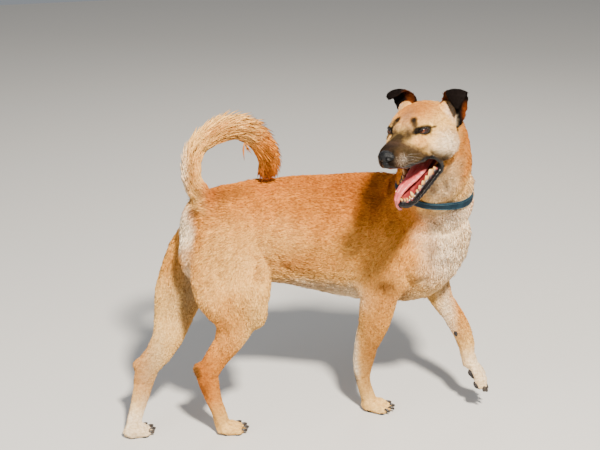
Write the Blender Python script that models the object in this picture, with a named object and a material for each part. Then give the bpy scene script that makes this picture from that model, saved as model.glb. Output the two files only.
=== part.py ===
"""A tan, short-coated dog of mixed breed, life size, walking and looking back over its right shoulder.

The dog is drawn in a yard frame: x runs roughly along its walk, y to its left, z up from the ground.
Flesh is built from tapering tubes and rounded lumps, fused into one body, eased and then parted by
thin planes into trunk, neck, head and legs. At the end everything is turned so that the trunk lies
along +X and moved so that the ground point under the middle of the dog is the origin.
"""

import math

import bmesh
import bpy
import numpy as np
from mathutils import Matrix, Vector
from mathutils.bvhtree import BVHTree

# ---------------------------------------------------------------- sizes (metres, degrees)
TURN_DEG = -15.0
GAP = 0.0003

BODY_VOXEL = 0.0062
HEAD_VOXEL = 0.0034
BODY_FACES = 2700
HEAD_FACES = 1480
BODY_EASE = 7
HEAD_EASE = 3

EYE_RADIUS = 0.0112
EYE_CENTRE = (-0.0060, 0.0375, -0.0010)
HEAD_PLACE = (0.2185, -0.248, 0.777)
HEAD_TURN_DEG = (9.0, -3.5, 235.0)
HEAD_SCALE = 1.0

COLLAR_WIDTH = 0.021
COLLAR_THICK = 0.0028
COLLAR_SINK = 0.0045
COLLAR_CENTRE = (0.287, -0.084, 0.585)
COLLAR_AXIS = (0.22, -0.40, 0.89)

# Trunk stations from buttock to breastbone: x, y, lowest z, highest z, half width.
TRUNK = (
    (-0.257, -0.103, 0.446, 0.539, 0.029),
    (-0.233, -0.088, 0.406, 0.574, 0.059),
    (-0.186, -0.060, 0.367, 0.590, 0.076),
    (-0.127, -0.026, 0.350, 0.593, 0.074),
    (-0.064, -0.001, 0.334, 0.593, 0.074),
    (0.000, 0.015, 0.316, 0.593, 0.085),
    (0.069, 0.023, 0.297, 0.593, 0.095),
    (0.137, 0.023, 0.284, 0.598, 0.098),
    (0.206, 0.015, 0.284, 0.598, 0.093),
    (0.274, 0.002, 0.290, 0.583, 0.090),
    (0.329, -0.011, 0.319, 0.548, 0.078),
    (0.370, -0.025, 0.374, 0.504, 0.049),
)

# Tubes: x, y, z, half width across, half depth.
NECK = (
    (0.235, 0.002, 0.441, 0.0804, 0.1029),
    (0.276, -0.013, 0.519, 0.0745, 0.1058),
    (0.297, -0.050, 0.578, 0.0676, 0.1010),
    (0.284, -0.086, 0.617, 0.0627, 0.0770),
    (0.298, -0.111, 0.656, 0.0588, 0.0780),
    (0.296, -0.132, 0.695, 0.0568, 0.0715),
    (0.290, -0.148, 0.735, 0.0549, 0.0666),
    (0.282, -0.160, 0.764, 0.0470, 0.0549),
)
HIND_RIGHT = (
    (-0.162, -0.081, 0.490, 0.0490, 0.0882),
    (-0.165, -0.099, 0.431, 0.0500, 0.0960),
    (-0.160, -0.111, 0.379, 0.0452, 0.0923),
    (-0.149, -0.119, 0.343, 0.0394, 0.0830),
    (-0.143, -0.122, 0.295, 0.0326, 0.0625),
    (-0.158, -0.124, 0.248, 0.0267, 0.0420),
    (-0.187, -0.125, 0.205, 0.0218, 0.0327),
    (-0.211, -0.126, 0.162, 0.0199, 0.0298),
    (-0.210, -0.125, 0.130, 0.0179, 0.0259),
    (-0.201, -0.122, 0.092, 0.0165, 0.0200),
    (-0.187, -0.120, 0.045, 0.0175, 0.0180),
    (-0.182, -0.119, 0.022, 0.0170, 0.0180),
)
HIND_LEFT = (
    (-0.193, -0.003, 0.480, 0.0470, 0.0790),
    (-0.223, -0.008, 0.426, 0.0490, 0.0862),
    (-0.254, -0.013, 0.369, 0.0432, 0.0816),
    (-0.281, -0.025, 0.316, 0.0375, 0.0680),
    (-0.297, -0.039, 0.263, 0.0307, 0.0524),
    (-0.309, -0.058, 0.221, 0.0258, 0.0426),
    (-0.331, -0.072, 0.184, 0.0219, 0.0358),
    (-0.356, -0.081, 0.154, 0.0199, 0.0328),
    (-0.368, -0.083, 0.114, 0.0179, 0.0269),
    (-0.377, -0.100, 0.076, 0.0170, 0.0220),
    (-0.388, -0.120, 0.040, 0.0175, 0.0185),
    (-0.392, -0.128, 0.022, 0.0170, 0.0180),
)
FORE_RIGHT = (
    (0.214, -0.050, 0.450, 0.0431, 0.0686),
    (0.199, -0.054, 0.379, 0.0393, 0.0609),
    (0.184, -0.052, 0.327, 0.0335, 0.0493),
    (0.176, -0.045, 0.263, 0.0277, 0.0405),
    (0.167, -0.037, 0.221, 0.0238, 0.0347),
    (0.157, -0.030, 0.184, 0.0209, 0.0298),
    (0.152, -0.022, 0.144, 0.0209, 0.0269),
    (0.150, -0.015, 0.109, 0.0180, 0.0219),
    (0.155, -0.010, 0.071, 0.0185, 0.0175),
    (0.164, -0.008, 0.040, 0.0195, 0.0180),
    (0.170, -0.009, 0.022, 0.0190, 0.0180),
)
FORE_LEFT = (
    (0.279, 0.056, 0.441, 0.0431, 0.0686),
    (0.300, 0.062, 0.372, 0.0382, 0.0529),
    (0.318, 0.059, 0.323, 0.0323, 0.0412),
    (0.342, 0.046, 0.270, 0.0255, 0.0294),
    (0.367, 0.036, 0.237, 0.0225, 0.0265),
    (0.387, 0.026, 0.203, 0.0206, 0.0255),
    (0.401, 0.017, 0.169, 0.0186, 0.0216),
    (0.404, 0.009, 0.145, 0.0181, 0.0191),
    (0.412, 0.002, 0.119, 0.0186, 0.0196),
)
# Tail stations: x, y, z, radius.
TAIL = (
    (-0.201, -0.062, 0.534, 0.0333),
    (-0.220, -0.076, 0.573, 0.0294),
    (-0.235, -0.086, 0.611, 0.0265),
    (-0.237, -0.089, 0.650, 0.0253),
    (-0.225, -0.086, 0.687, 0.0263),
    (-0.192, -0.076, 0.716, 0.0289),
    (-0.149, -0.064, 0.728, 0.0314),
    (-0.110, -0.050, 0.713, 0.0304),
    (-0.084, -0.038, 0.680, 0.0284),
    (-0.073, -0.028, 0.648, 0.0264),
    (-0.073, -0.021, 0.622, 0.0240),
    (-0.073, -0.018, 0.611, 0.0190),
)

# Lumps fused into the body: centre, half sizes, turn about z in degrees.
SHOULDER_LUMPS = (
    ((0.201, -0.052, 0.465), (0.059, 0.039, 0.103), -5.0),
    ((0.257, 0.058, 0.460), (0.057, 0.041, 0.098), -12.0),
    ((0.257, -0.064, 0.416), (0.045, 0.035, 0.051), -20.0),
    ((0.323, 0.038, 0.426), (0.041, 0.035, 0.049), -20.0),
    ((0.368, -0.028, 0.465), (0.025, 0.041, 0.073), 0.0),
)
JOINT_LUMPS = (
    ((-0.235, -0.123, 0.169), (0.014, 0.013, 0.020), 33.0),
    ((-0.378, -0.089, 0.162), (0.014, 0.013, 0.020), 33.0),
    ((0.148, -0.052, 0.339), (0.018, 0.018, 0.024), 0.0),
    ((0.159, -0.021, 0.135), (0.017, 0.020, 0.018), 0.0),
    ((0.136, -0.019, 0.123), (0.009, 0.010, 0.011), 0.0),
    ((-0.089, -0.116, 0.356), (0.026, 0.026, 0.035), 33.0),
    ((-0.223, -0.026, 0.335), (0.026, 0.026, 0.035), 33.0),
    ((-0.245, -0.111, 0.450), (0.029, 0.029, 0.059), 33.0),
    ((-0.274, -0.032, 0.421), (0.029, 0.035, 0.054), 33.0),
)

# Paws: middle of the pad, heading, pitch (nose of the paw down), size factor.
PAW_HIND_RIGHT = ((-0.167, -0.119, 0.0130), 20.0, 0.0, 0.98)
PAW_HIND_LEFT = ((-0.385, -0.132, 0.0130), 28.0, 0.0, 0.98)
PAW_FORE_RIGHT = ((0.182, -0.011, 0.0140), -8.0, 0.0, 1.04)
PAW_FORE_LEFT = ((0.431, -0.005, 0.098), -12.0, 58.0, 1.00)
PAW_LENGTH = 0.068
PAW_WIDTH = 0.054
PAW_HEIGHT = 0.034
TOE_RADIUS = 0.0112
TOE_SPACING = 0.0128
TOE_SPREAD_DEG = 7.0
# Each toe: its place across the paw, and how far forward it reaches.
TOE_FAN = ((-1.5, 0.027), (-0.5, 0.036), (0.5, 0.036), (1.5, 0.027))
CLAW_LENGTH = 0.0125
CLAW_ROOT = 0.0040
CLAW_RADIUS = 0.0030
# Along each claw: share of its length, drop, share of its radius.
CLAW_STATIONS = ((0.0, 0.0, 1.0), (0.45, -0.0012, 0.85), (0.8, -0.0038, 0.55), (1.0, -0.0062, 0.22))

# Head stations, tail to nose, in the head's own frame: x, middle z, half width, half height.
SKULL = (
    (-0.138, -0.008, 0.0300, 0.0310),
    (-0.122, -0.008, 0.0470, 0.0460),
    (-0.095, -0.008, 0.0600, 0.0560),
    (-0.065, -0.010, 0.0650, 0.0590),
    (-0.038, -0.013, 0.0620, 0.0580),
    (-0.018, -0.018, 0.0555, 0.0530),
    (-0.004, -0.023, 0.0480, 0.0460),
    (0.008, -0.029, 0.0410, 0.0400),
    (0.024, -0.0352, 0.0365, 0.0348),
    (0.044, -0.0400, 0.0335, 0.0305),
    (0.064, -0.0422, 0.0305, 0.0278),
    (0.080, -0.0457, 0.0260, 0.0233),
    (0.088, -0.048, 0.0190, 0.0180),
)
HEAD_LUMPS = (
    ((-0.052, 0.049, -0.036), (0.044, 0.024, 0.038), 0.0),
    ((-0.014, 0.034, 0.0170), (0.018, 0.010, 0.008), -25.0),
    ((0.012, 0.034, -0.026), (0.026, 0.011, 0.013), -20.0),
    ((-0.082, 0.048, 0.020), (0.022, 0.018, 0.028), 0.0),
    ((0.056, 0.018, -0.057), (0.032, 0.0120, 0.0120), -4.0),
    ((0.018, 0.031, -0.056), (0.032, 0.010, 0.0120), -14.0),
)
THROAT_LUMP = ((-0.104, 0.002, -0.062), (0.042, 0.048, 0.042))
# Roof of the mouth, hollowed out between the lips: x, z, half width, half height.
PALATE = (
    (-0.050, -0.074, 0.0300, 0.0150),
    (-0.010, -0.072, 0.0265, 0.0150),
    (0.034, -0.072, 0.0205, 0.0130),
    (0.072, -0.072, 0.0140, 0.0085),
)
NOSE_LUMPS = (
    ((0.0900, 0.0, -0.0375), (0.0125, 0.0170, 0.0115)),
    ((0.0890, 0.0, -0.0490), (0.0100, 0.0110, 0.0105)),
)

# Lower jaw, back to chin, in its own frame: x, z, half width, half height.
JAW = (
    (0.010, -0.002, 0.0440, 0.0190),
    (0.038, -0.003, 0.0430, 0.0190),
    (0.062, -0.002, 0.0375, 0.0160),
    (0.088, -0.001, 0.0325, 0.0135),
    (0.112, 0.000, 0.0275, 0.0115),
    (0.132, 0.001, 0.0225, 0.0100),
    (0.144, 0.002, 0.0160, 0.0080),
)
JAW_HINGE = (-0.0955, 0.0, -0.0654)
JAW_OPEN_DEG = 34.0
JAW_SCALE = 1.07
# Hollow between the two rows of lower teeth: x, z, half width, half height.
JAW_TROUGH = (
    (0.010, 0.0220, 0.0310, 0.0170),
    (0.060, 0.0190, 0.0240, 0.0140),
    (0.100, 0.0170, 0.0180, 0.0120),
    (0.126, 0.0150, 0.0130, 0.0080),
)
# Tongue in the jaw's frame: x, y, z, half width, half thickness.
TONGUE = (
    (0.030, 0.000, 0.0150, 0.0220, 0.0060),
    (0.060, 0.000, 0.0160, 0.0195, 0.0060),
    (0.090, -0.002, 0.0185, 0.0160, 0.0052),
    (0.114, -0.006, 0.0225, 0.0140, 0.0046),
    (0.132, -0.010, 0.0215, 0.0115, 0.0042),
    (0.142, -0.0135, 0.0130, 0.0090, 0.0038),
    (0.145, -0.0150, 0.0000, 0.0075, 0.0036),
    (0.143, -0.0155, -0.0110, 0.0058, 0.0032),
)
# Teeth of the lower jaw, one side: x, y, height, half length, half width.
LOWER_TEETH = (
    (0.1390, 0.0035, 0.0070, 0.0024, 0.0026),
    (0.1375, 0.0085, 0.0075, 0.0024, 0.0028),
    (0.1300, 0.0145, 0.0160, 0.0042, 0.0038),
    (0.1130, 0.0190, 0.0065, 0.0040, 0.0028),
    (0.1005, 0.0215, 0.0075, 0.0050, 0.0030),
    (0.0860, 0.0245, 0.0085, 0.0058, 0.0032),
    (0.0670, 0.0285, 0.0120, 0.0085, 0.0038),
)
GUM = (
    (0.0560, 0.0305),
    (0.0760, 0.0270),
    (0.0980, 0.0220),
    (0.1180, 0.0180),
    (0.1310, 0.0140),
    (0.1385, 0.0075),
    (0.1400, 0.0000),
)
GUM_RADIUS = 0.0034
GUM_Z = 0.0105
# Up each tooth: share of its height, share of its width.
TOOTH_STATIONS = ((-0.2, 1.0), (0.35, 0.95), (0.75, 0.6), (1.0, 0.25))
TEETH_VOXEL = 0.0009
TEETH_FACES = 340

# Ears in the head's frame, base to tip: front edge x, y, z, back edge x, y, z, half thickness.
EAR_LEFT = (
    (-0.080, 0.030, 0.036, -0.082, 0.060, -0.012, 0.0040),
    (-0.082, 0.034, 0.046, -0.086, 0.074, -0.012, 0.0034),
    (-0.086, 0.035, 0.053, -0.090, 0.086, 0.008, 0.0028),
    (-0.086, 0.037, 0.061, -0.090, 0.094, 0.036, 0.0026),
    (-0.081, 0.043, 0.066, -0.084, 0.100, 0.062, 0.0025),
    (-0.072, 0.051, 0.062, -0.075, 0.100, 0.060, 0.0025),
    (-0.064, 0.062, 0.050, -0.067, 0.096, 0.044, 0.0024),
    (-0.060, 0.076, 0.036, -0.061, 0.088, 0.032, 0.0020),
)
EAR_RIGHT = (
    (-0.080, -0.016, 0.040, -0.082, -0.052, -0.006, 0.0040),
    (-0.082, -0.020, 0.048, -0.086, -0.062, 0.000, 0.0034),
    (-0.086, -0.024, 0.056, -0.090, -0.074, 0.022, 0.0028),
    (-0.086, -0.030, 0.064, -0.090, -0.084, 0.046, 0.0026),
    (-0.079, -0.038, 0.069, -0.082, -0.090, 0.062, 0.0025),
    (-0.069, -0.043, 0.068, -0.072, -0.089, 0.061, 0.0025),
    (-0.060, -0.050, 0.062, -0.063, -0.084, 0.057, 0.0024),
    (-0.055, -0.062, 0.056, -0.056, -0.074, 0.053, 0.0020),
)
EAR_CUP = 0.22

# Planes that part the flesh: a point, and the way out of the lower piece.
NECK_HEAD_CUT = ((0.294, -0.136, 0.705), (0.10, -0.46, 0.88))
TRUNK_NECK_CUT = ((0.286, -0.032, 0.541), (0.42, -0.28, 0.86))
# How each leg parts from the trunk: point on the cut, heading (degrees), side (1 left), rise of the
# cut outwards, then how far the leg reaches inwards, back and forward of the point.
LEG_CUTS = {
    "leg_hind_right": ((-0.164, -0.120, 0.385), 33.0, -1, 0.75, 0.068, 0.150, 0.104),
    "leg_hind_left": ((-0.250, -0.008, 0.385), 33.0, 1, 0.75, 0.068, 0.280, 0.104),
    "leg_fore_right": ((0.190, -0.052, 0.335), -8.0, -1, 1.2, 0.078, 0.090, 0.095),
    "leg_fore_left": ((0.312, 0.060, 0.345), -15.0, 1, 1.2, 0.078, 0.085, 0.220),
}
LEG_REACH_OUT = 0.15

COLOURS = {
    "coat_tan": (0.55, 0.33, 0.15),
    "coat_pale": (0.72, 0.60, 0.45),
    "ear_dark": (0.06, 0.035, 0.025),
    "nose_black": (0.012, 0.012, 0.013),
    "eye_brown": (0.09, 0.035, 0.015),
    "tongue_pink": (0.72, 0.25, 0.25),
    "teeth_ivory": (0.80, 0.70, 0.50),
    "collar_teal": (0.02, 0.09, 0.13),
}
WET = ("nose_black", "eye_brown", "tongue_pink")
WET_ROUGHNESS = 0.3
DRY_ROUGHNESS = 0.8


# ---------------------------------------------------------------- shapes as points and faces
def eased(rows, steps):
    """Rows joined by a smooth curve through every one, with `steps` rows per span."""
    rows = np.array(rows, float)
    ends = np.vstack([2 * rows[0] - rows[1], rows, 2 * rows[-1] - rows[-2]])
    out = []
    for i in range(len(rows) - 1):
        a, b, c, d = ends[i : i + 4]
        for t in np.arange(steps) / steps:
            bend = (2 * a - 5 * b + 4 * c - d) * t**2 + (3 * b - a - 3 * c + d) * t**3
            out.append(0.5 * (2 * b + (c - a) * t + bend))
    out.append(rows[-1])
    return np.array(out)


def unit(v):
    v = np.array(v, float)
    return v / np.linalg.norm(v)


def rings_to_shape(rings, near, far):
    """A closed tube from equal rings of points, with one point closing each end."""
    count, around = rings.shape[:2]
    points = np.vstack([rings.reshape(-1, 3), [near], [far]])
    first, last = count * around, count * around + 1
    faces = []
    for i in range(count - 1):
        for j in range(around):
            k = (j + 1) % around
            faces.append((i * around + j, i * around + k, (i + 1) * around + k, (i + 1) * around + j))
    for j in range(around):
        k = (j + 1) % around
        faces.append((first, k, j))
        faces.append((last, (count - 1) * around + j, (count - 1) * around + k))
    return points, faces


def tube(rows, side, around=20, steps=4, dome=0.55):
    """A tube along rows of x, y, z, half across, half deep; `side` is the way its width points."""
    rows = eased(rows, steps)
    centre, across, deep = rows[:, :3], rows[:, 3], rows[:, 4]
    along = np.gradient(centre, axis=0)
    along /= np.linalg.norm(along, axis=1)[:, None]
    wide = unit(side) - (along @ unit(side))[:, None] * along
    wide /= np.linalg.norm(wide, axis=1)[:, None]
    front = np.cross(wide, along)
    angle = np.arange(around) * 2 * math.pi / around
    start = centre[0] - along[0] * dome * min(across[0], deep[0])
    stop = centre[-1] + along[-1] * dome * min(across[-1], deep[-1])
    rings = []
    for i in range(-1, len(rows) + 1):
        n = min(max(i, 0), len(rows) - 1)
        inside = n == i
        middle = centre[n] if inside else 0.45 * centre[n] + 0.55 * (start if i < 0 else stop)
        size = 1.0 if inside else 0.80
        ring = np.outer(np.cos(angle), wide[n]) * across[n] + np.outer(np.sin(angle), front[n]) * deep[n]
        rings.append(middle + size * ring)
    return rings_to_shape(np.array(rings), start, stop)


def leaf(rows, cup, around=10, steps=2):
    """An ear flap between two edges, bellied towards the back by `cup` of its width."""
    rows = eased(rows, steps)
    front, back, thick = rows[:, :3], rows[:, 3:6], rows[:, 6]
    middle, half = 0.5 * (front + back), 0.5 * (back - front)
    along = np.gradient(middle, axis=0)
    out = np.cross(half, along)
    out /= np.linalg.norm(out, axis=1)[:, None]
    out *= -np.sign(out[1, 0])
    angle = np.arange(around) * 2 * math.pi / around
    c = np.cos(angle)
    rings = []
    for n in range(len(rows)):
        belly = cup * np.linalg.norm(half[n]) * (1.0 - c * c)
        rings.append(middle[n] + np.outer(c, half[n]) + np.outer(np.sin(angle) * thick[n] + belly, out[n]))
    near = middle[0] + out[0] * cup * np.linalg.norm(half[0]) * 0.8
    far = middle[-1] + along[-1] * 0.3
    return rings_to_shape(np.array(rings), near, far)


def trunk_shape(rows, around=28, steps=4):
    """The trunk: upright rings along a path on plan, widest a little above the middle."""
    rows = eased(rows, steps)
    path = np.gradient(rows[:, :2], axis=0)
    path /= np.linalg.norm(path, axis=1)[:, None]
    angle = np.arange(around) * 2 * math.pi / around
    c = np.sign(np.cos(angle)) * np.abs(np.cos(angle)) ** 0.92
    s = np.sin(angle)
    rings = []
    for (x, y, low, high, half), (px, py) in zip(rows, path):
        middle, tall = 0.5 * (low + high), 0.5 * (high - low)
        wide = half * c * (1.0 - 0.10 * s * s + 0.05 * s)
        rings.append(np.stack([x + py * wide, y - px * wide, middle + tall * s], axis=1))
    rings = np.array(rings)
    near = rings[0].mean(axis=0) - np.array([path[0][0], path[0][1], 0.0]) * 0.014
    far = rings[-1].mean(axis=0) + np.array([path[-1][0], path[-1][1], 0.0]) * 0.020
    return rings_to_shape(rings[:, ::-1], near, far)


def lump(centre, half, turn_deg=0.0, pitch_deg=0.0, around=16, rows=9):
    """An ellipsoid, turned about z after tipping its nose down."""
    rings = []
    for i in range(1, rows):
        a = math.pi * i / rows
        b = np.arange(around) * 2 * math.pi / around
        wide, tall = math.sin(a) * np.cos(b), math.sin(a) * np.sin(b)
        rings.append(np.stack([np.full(around, -math.cos(a)), wide, tall], axis=1))
    points, faces = rings_to_shape(np.array(rings), (-1.0, 0.0, 0.0), (1.0, 0.0, 0.0))
    pitch = Matrix.Rotation(math.radians(pitch_deg), 3, "Y")
    turn = Matrix.Rotation(math.radians(turn_deg), 3, "Z") @ pitch
    return (points * np.array(half)) @ np.array(turn).T + np.array(centre), faces


def matrix_of(place, turns_deg, scale=1.0):
    """Roll about x, then pitch about y, then heading about z, then a move."""
    roll, pitch, heading = (math.radians(t) for t in turns_deg)
    turn = Matrix.Rotation(heading, 4, "Z") @ Matrix.Rotation(pitch, 4, "Y") @ Matrix.Rotation(roll, 4, "X")
    return np.array(Matrix.Translation(Vector(place)) @ turn @ Matrix.Scale(scale, 4))


def placed(shapes, matrix):
    return [(np.array(points) @ matrix[:3, :3].T + matrix[:3, 3], faces) for points, faces in shapes]


def paw(place, heading, pitch, size):
    """A pad with four toes in a fan."""
    shapes = [lump((0, 0, 0), np.array((PAW_LENGTH, PAW_WIDTH * 0.94, PAW_HEIGHT)) * 0.5)]
    for fan, forward in TOE_FAN:
        at = (forward - 0.015, fan * TOE_SPACING, -0.003)
        shapes.append(lump(at, (0.0170, 0.0092, TOE_RADIUS), turn_deg=fan * TOE_SPREAD_DEG, pitch_deg=14.0))
    return placed(shapes, matrix_of(place, (0.0, pitch, heading), size))


def claws(place, heading, pitch, size):
    """Four short claws that curve down from the toes."""
    shapes = []
    for fan, forward in TOE_FAN:
        slant = math.radians(fan * TOE_SPREAD_DEG)
        rows = []
        for t, fall, radius in CLAW_STATIONS:
            x = forward - CLAW_ROOT + math.cos(slant) * CLAW_LENGTH * t
            y = fan * TOE_SPACING * 1.04 + math.sin(slant) * CLAW_LENGTH * t
            rows.append((x, y, fall, CLAW_RADIUS * radius, CLAW_RADIUS * radius))
        shapes.append(tube(rows, (0, 1, 0), around=5, steps=1))
    return placed(shapes, matrix_of(place, (0.0, pitch, heading), size))


def middle_tube(rows, around):
    """A tube on the head's middle line, from rows of x, z, half width, half height."""
    return tube([(x, 0.0, z, wide, tall) for x, z, wide, tall in rows], (0, 1, 0), around, steps=1)


# ---------------------------------------------------------------- shapes as Blender objects
def material(name):
    found = bpy.data.materials.get(name)
    if found:
        return found
    made = bpy.data.materials.new(name)
    made.use_nodes = True
    shader = made.node_tree.nodes["Principled BSDF"]
    shader.inputs["Base Color"].default_value = (*COLOURS[name], 1.0)
    shader.inputs["Roughness"].default_value = WET_ROUGHNESS if name in WET else DRY_ROUGHNESS
    return made


def add(name, shapes, colour):
    """One object from several closed shapes."""
    points, faces, count = [], [], 0
    for p, f in shapes:
        points.append(np.array(p))
        faces.extend(tuple(i + count for i in face) for face in f)
        count += len(p)
    mesh = bpy.data.meshes.new(name)
    mesh.from_pydata(np.vstack(points).tolist(), [], faces)
    bm = bmesh.new()
    bm.from_mesh(mesh)
    bmesh.ops.recalc_face_normals(bm, faces=bm.faces)
    bm.to_mesh(mesh)
    bm.free()
    mesh.materials.append(material(colour))
    obj = bpy.data.objects.new(name, mesh)
    bpy.context.scene.collection.objects.link(obj)
    return obj


def painted(obj, colour):
    obj.data.materials.clear()
    obj.data.materials.append(material(colour))
    return obj


def settle(obj):
    """The object's modifiers worked into its mesh."""
    bpy.context.view_layer.update()
    graph = bpy.context.evaluated_depsgraph_get()
    mesh = bpy.data.meshes.new_from_object(obj.evaluated_get(graph))
    obj.modifiers.clear()
    obj.data = mesh
    return obj


def fuse(obj, voxel, rounds, faces):
    """Overlapping shapes made one even skin, eased without shrinking, then thinned to `faces` triangles."""
    remesh = obj.modifiers.new("fuse", "REMESH")
    remesh.mode = "VOXEL"
    remesh.voxel_size = voxel
    settle(obj)
    ease(obj, rounds)
    thin(obj, faces)
    return obj


def thin(obj, faces):
    obj.data.calc_loop_triangles()
    modifier = obj.modifiers.new("thin", "DECIMATE")
    modifier.ratio = min(1.0, faces / len(obj.data.loop_triangles))
    modifier.use_collapse_triangulate = True
    return settle(obj)


def ease(obj, rounds):
    """Evens out the surface: a step in, then a slightly larger step out."""
    mesh = obj.data
    points = np.empty(len(mesh.vertices) * 3)
    mesh.vertices.foreach_get("co", points)
    points = points.reshape(-1, 3)
    edges = np.empty(len(mesh.edges) * 2, np.int64)
    mesh.edges.foreach_get("vertices", edges)
    a, b = edges.reshape(-1, 2).T
    valence = np.bincount(a, minlength=len(points)) + np.bincount(b, minlength=len(points))
    for step in (0.55, -0.57) * rounds:
        total = np.zeros_like(points)
        for axis in range(3):
            total[:, axis] += np.bincount(a, points[b, axis], len(points))
            total[:, axis] += np.bincount(b, points[a, axis], len(points))
        points += step * (total / valence[:, None] - points)
    mesh.vertices.foreach_set("co", points.ravel())
    mesh.update()


def combined(obj, other, operation):
    modifier = obj.modifiers.new("cut", "BOOLEAN")
    modifier.operation = operation
    modifier.solver = "EXACT"
    modifier.use_self = True
    modifier.object = other
    settle(obj)
    return obj


def copy_of(obj, name):
    twin = bpy.data.objects.new(name, obj.data.copy())
    bpy.context.scene.collection.objects.link(twin)
    return twin


def drop(obj):
    bpy.data.objects.remove(obj, do_unlink=True)


def grown(obj, by):
    """A copy whose surface stands `by` further out."""
    twin = copy_of(obj, obj.name + "_grown")
    twin.data.update()
    normals = [v.normal.copy() for v in twin.data.vertices]
    for vertex, normal in zip(twin.data.vertices, normals):
        vertex.co = vertex.co + normal * by
    twin.data.update()
    return twin


def clear_of(obj, other, by=GAP):
    """Takes `other`, and a thin gap around it, out of `obj`."""
    cutter = grown(other, by * 1.6)
    combined(obj, cutter, "DIFFERENCE")
    drop(cutter)
    return keep_largest(obj)


def loose_pieces(bm):
    """The vertices of each loose piece, smallest piece first."""
    pieces = []
    waiting = set(bm.verts)
    while waiting:
        stack = [waiting.pop()]
        piece = set(stack)
        while stack:
            for edge in stack.pop().link_edges:
                for vertex in edge.verts:
                    if vertex in waiting:
                        waiting.remove(vertex)
                        piece.add(vertex)
                        stack.append(vertex)
        pieces.append(piece)
    return sorted(pieces, key=len)


def keep_piece(obj, score):
    """Leaves only the loose piece with the highest score."""
    bm = bmesh.new()
    bm.from_mesh(obj.data)
    pieces = loose_pieces(bm)
    best = max(pieces, key=score)
    for piece in pieces:
        if piece is not best:
            bmesh.ops.delete(bm, geom=list(piece), context="VERTS")
    bm.to_mesh(obj.data)
    bm.free()
    return obj


def keep_largest(obj):
    return keep_piece(obj, len)


def below(obj, point, way):
    """Cuts away what lies past a plane and closes the cut."""
    bm = bmesh.new()
    bm.from_mesh(obj.data)
    geometry = bm.verts[:] + bm.edges[:] + bm.faces[:]
    made = bmesh.ops.bisect_plane(
        bm, geom=geometry, plane_co=Vector(point), plane_no=Vector(way), clear_outer=True, dist=1e-7
    )
    rim = [e for e in made["geom_cut"] if isinstance(e, bmesh.types.BMEdge)]
    caps = bmesh.ops.edgenet_fill(bm, edges=rim)["faces"]
    bmesh.ops.triangulate(bm, faces=caps)
    bmesh.ops.recalc_face_normals(bm, faces=bm.faces)
    bm.to_mesh(obj.data)
    bm.free()
    return obj


def offset(point, way, by):
    return tuple(np.array(point) + unit(way) * by)


def leg_block(point, heading_deg, side, rise, inner, back, front, grow):
    """A block that holds one leg up to its cut, made larger on every side by `grow`."""
    low, top = -0.05, point[2]
    outline = (
        (-inner - grow, low),
        (LEG_REACH_OUT, low),
        (LEG_REACH_OUT, top + rise * LEG_REACH_OUT + grow),
        (-inner - grow, top - rise * inner + grow),
    )
    points = [(u, side * v, z) for u in (-back - grow, front + grow) for v, z in outline]
    faces = [(0, 1, 2, 3), (4, 7, 6, 5), (0, 4, 5, 1), (1, 5, 6, 2), (2, 6, 7, 3), (3, 7, 4, 0)]
    place = matrix_of((point[0], point[1], 0.0), (0.0, 0.0, heading_deg))
    return add("block", placed([(points, faces)], place), "coat_tan")


def band(name, inner, centre, axis, width, thick, sink, colour, around=28):
    """A flat strap around `inner`, sunk a little into it, in the plane square to `axis`."""
    tree = BVHTree.FromObject(inner, bpy.context.evaluated_depsgraph_get())
    axis = unit(axis)
    across = unit(np.cross(axis, (1.0, 0.0, 0.0)))
    deep = np.cross(across, axis)
    angle = np.arange(around)[:, None] * 2 * math.pi / around
    ways = across * np.cos(angle) + deep * np.sin(angle)
    rims = []
    for level in (-0.5, 0.5):
        start = np.array(centre) + axis * width * level
        reach = np.array([tree.ray_cast(Vector(start), Vector(way))[3] for way in ways]) - sink
        even = (np.roll(reach, 1) + 2 * reach + np.roll(reach, -1))[:, None] / 4
        rims.append((start + ways * even, start + ways * (even + thick)))
    (low_in, low_out), (high_in, high_out) = rims
    points = np.stack([low_in, high_in, high_out, low_out], axis=1).reshape(-1, 3)
    faces = []
    for i in range(around):
        j = (i + 1) % around
        for k in range(4):
            m = (k + 1) % 4
            faces.append((i * 4 + k, i * 4 + m, j * 4 + m))
            faces.append((i * 4 + k, j * 4 + m, j * 4 + k))
    return add(name, [(points, faces)], colour)


# ---------------------------------------------------------------- the body
for old in list(bpy.data.objects):
    bpy.data.objects.remove(old, do_unlink=True)

HIND_SIDE = (-0.54, 0.84, 0.0)
FORE_SIDE = (0.14, 0.99, 0.0)
TAIL_SIDE = (0.35, -0.94, 0.0)
PAWS = {
    "leg_hind_right": PAW_HIND_RIGHT,
    "leg_hind_left": PAW_HIND_LEFT,
    "leg_fore_right": PAW_FORE_RIGHT,
    "leg_fore_left": PAW_FORE_LEFT,
}
neck_tube = tube(NECK, (0, 1, 0), around=24)

flesh = [trunk_shape(TRUNK), neck_tube]
flesh.append(tube(HIND_RIGHT, HIND_SIDE))
flesh.append(tube(HIND_LEFT, HIND_SIDE))
flesh.append(tube(FORE_RIGHT, FORE_SIDE))
flesh.append(tube(FORE_LEFT, FORE_SIDE))
for centre, half, turn in SHOULDER_LUMPS + JOINT_LUMPS:
    flesh.append(lump(centre, half, turn))
for spec in PAWS.values():
    flesh.extend(paw(*spec))
body = fuse(add("body", flesh, "coat_tan"), BODY_VOXEL, BODY_EASE, BODY_FACES)
below(body, (0, 0, 0), (0, 0, -1))

neck = copy_of(body, "neck")
point, way = TRUNK_NECK_CUT
below(body, offset(point, way, -0.5 * GAP), way)
below(neck, offset(point, way, 0.5 * GAP), tuple(-np.array(way)))
point, way = NECK_HEAD_CUT
below(neck, offset(point, way, -0.5 * GAP), way)
keep_largest(neck)

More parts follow.
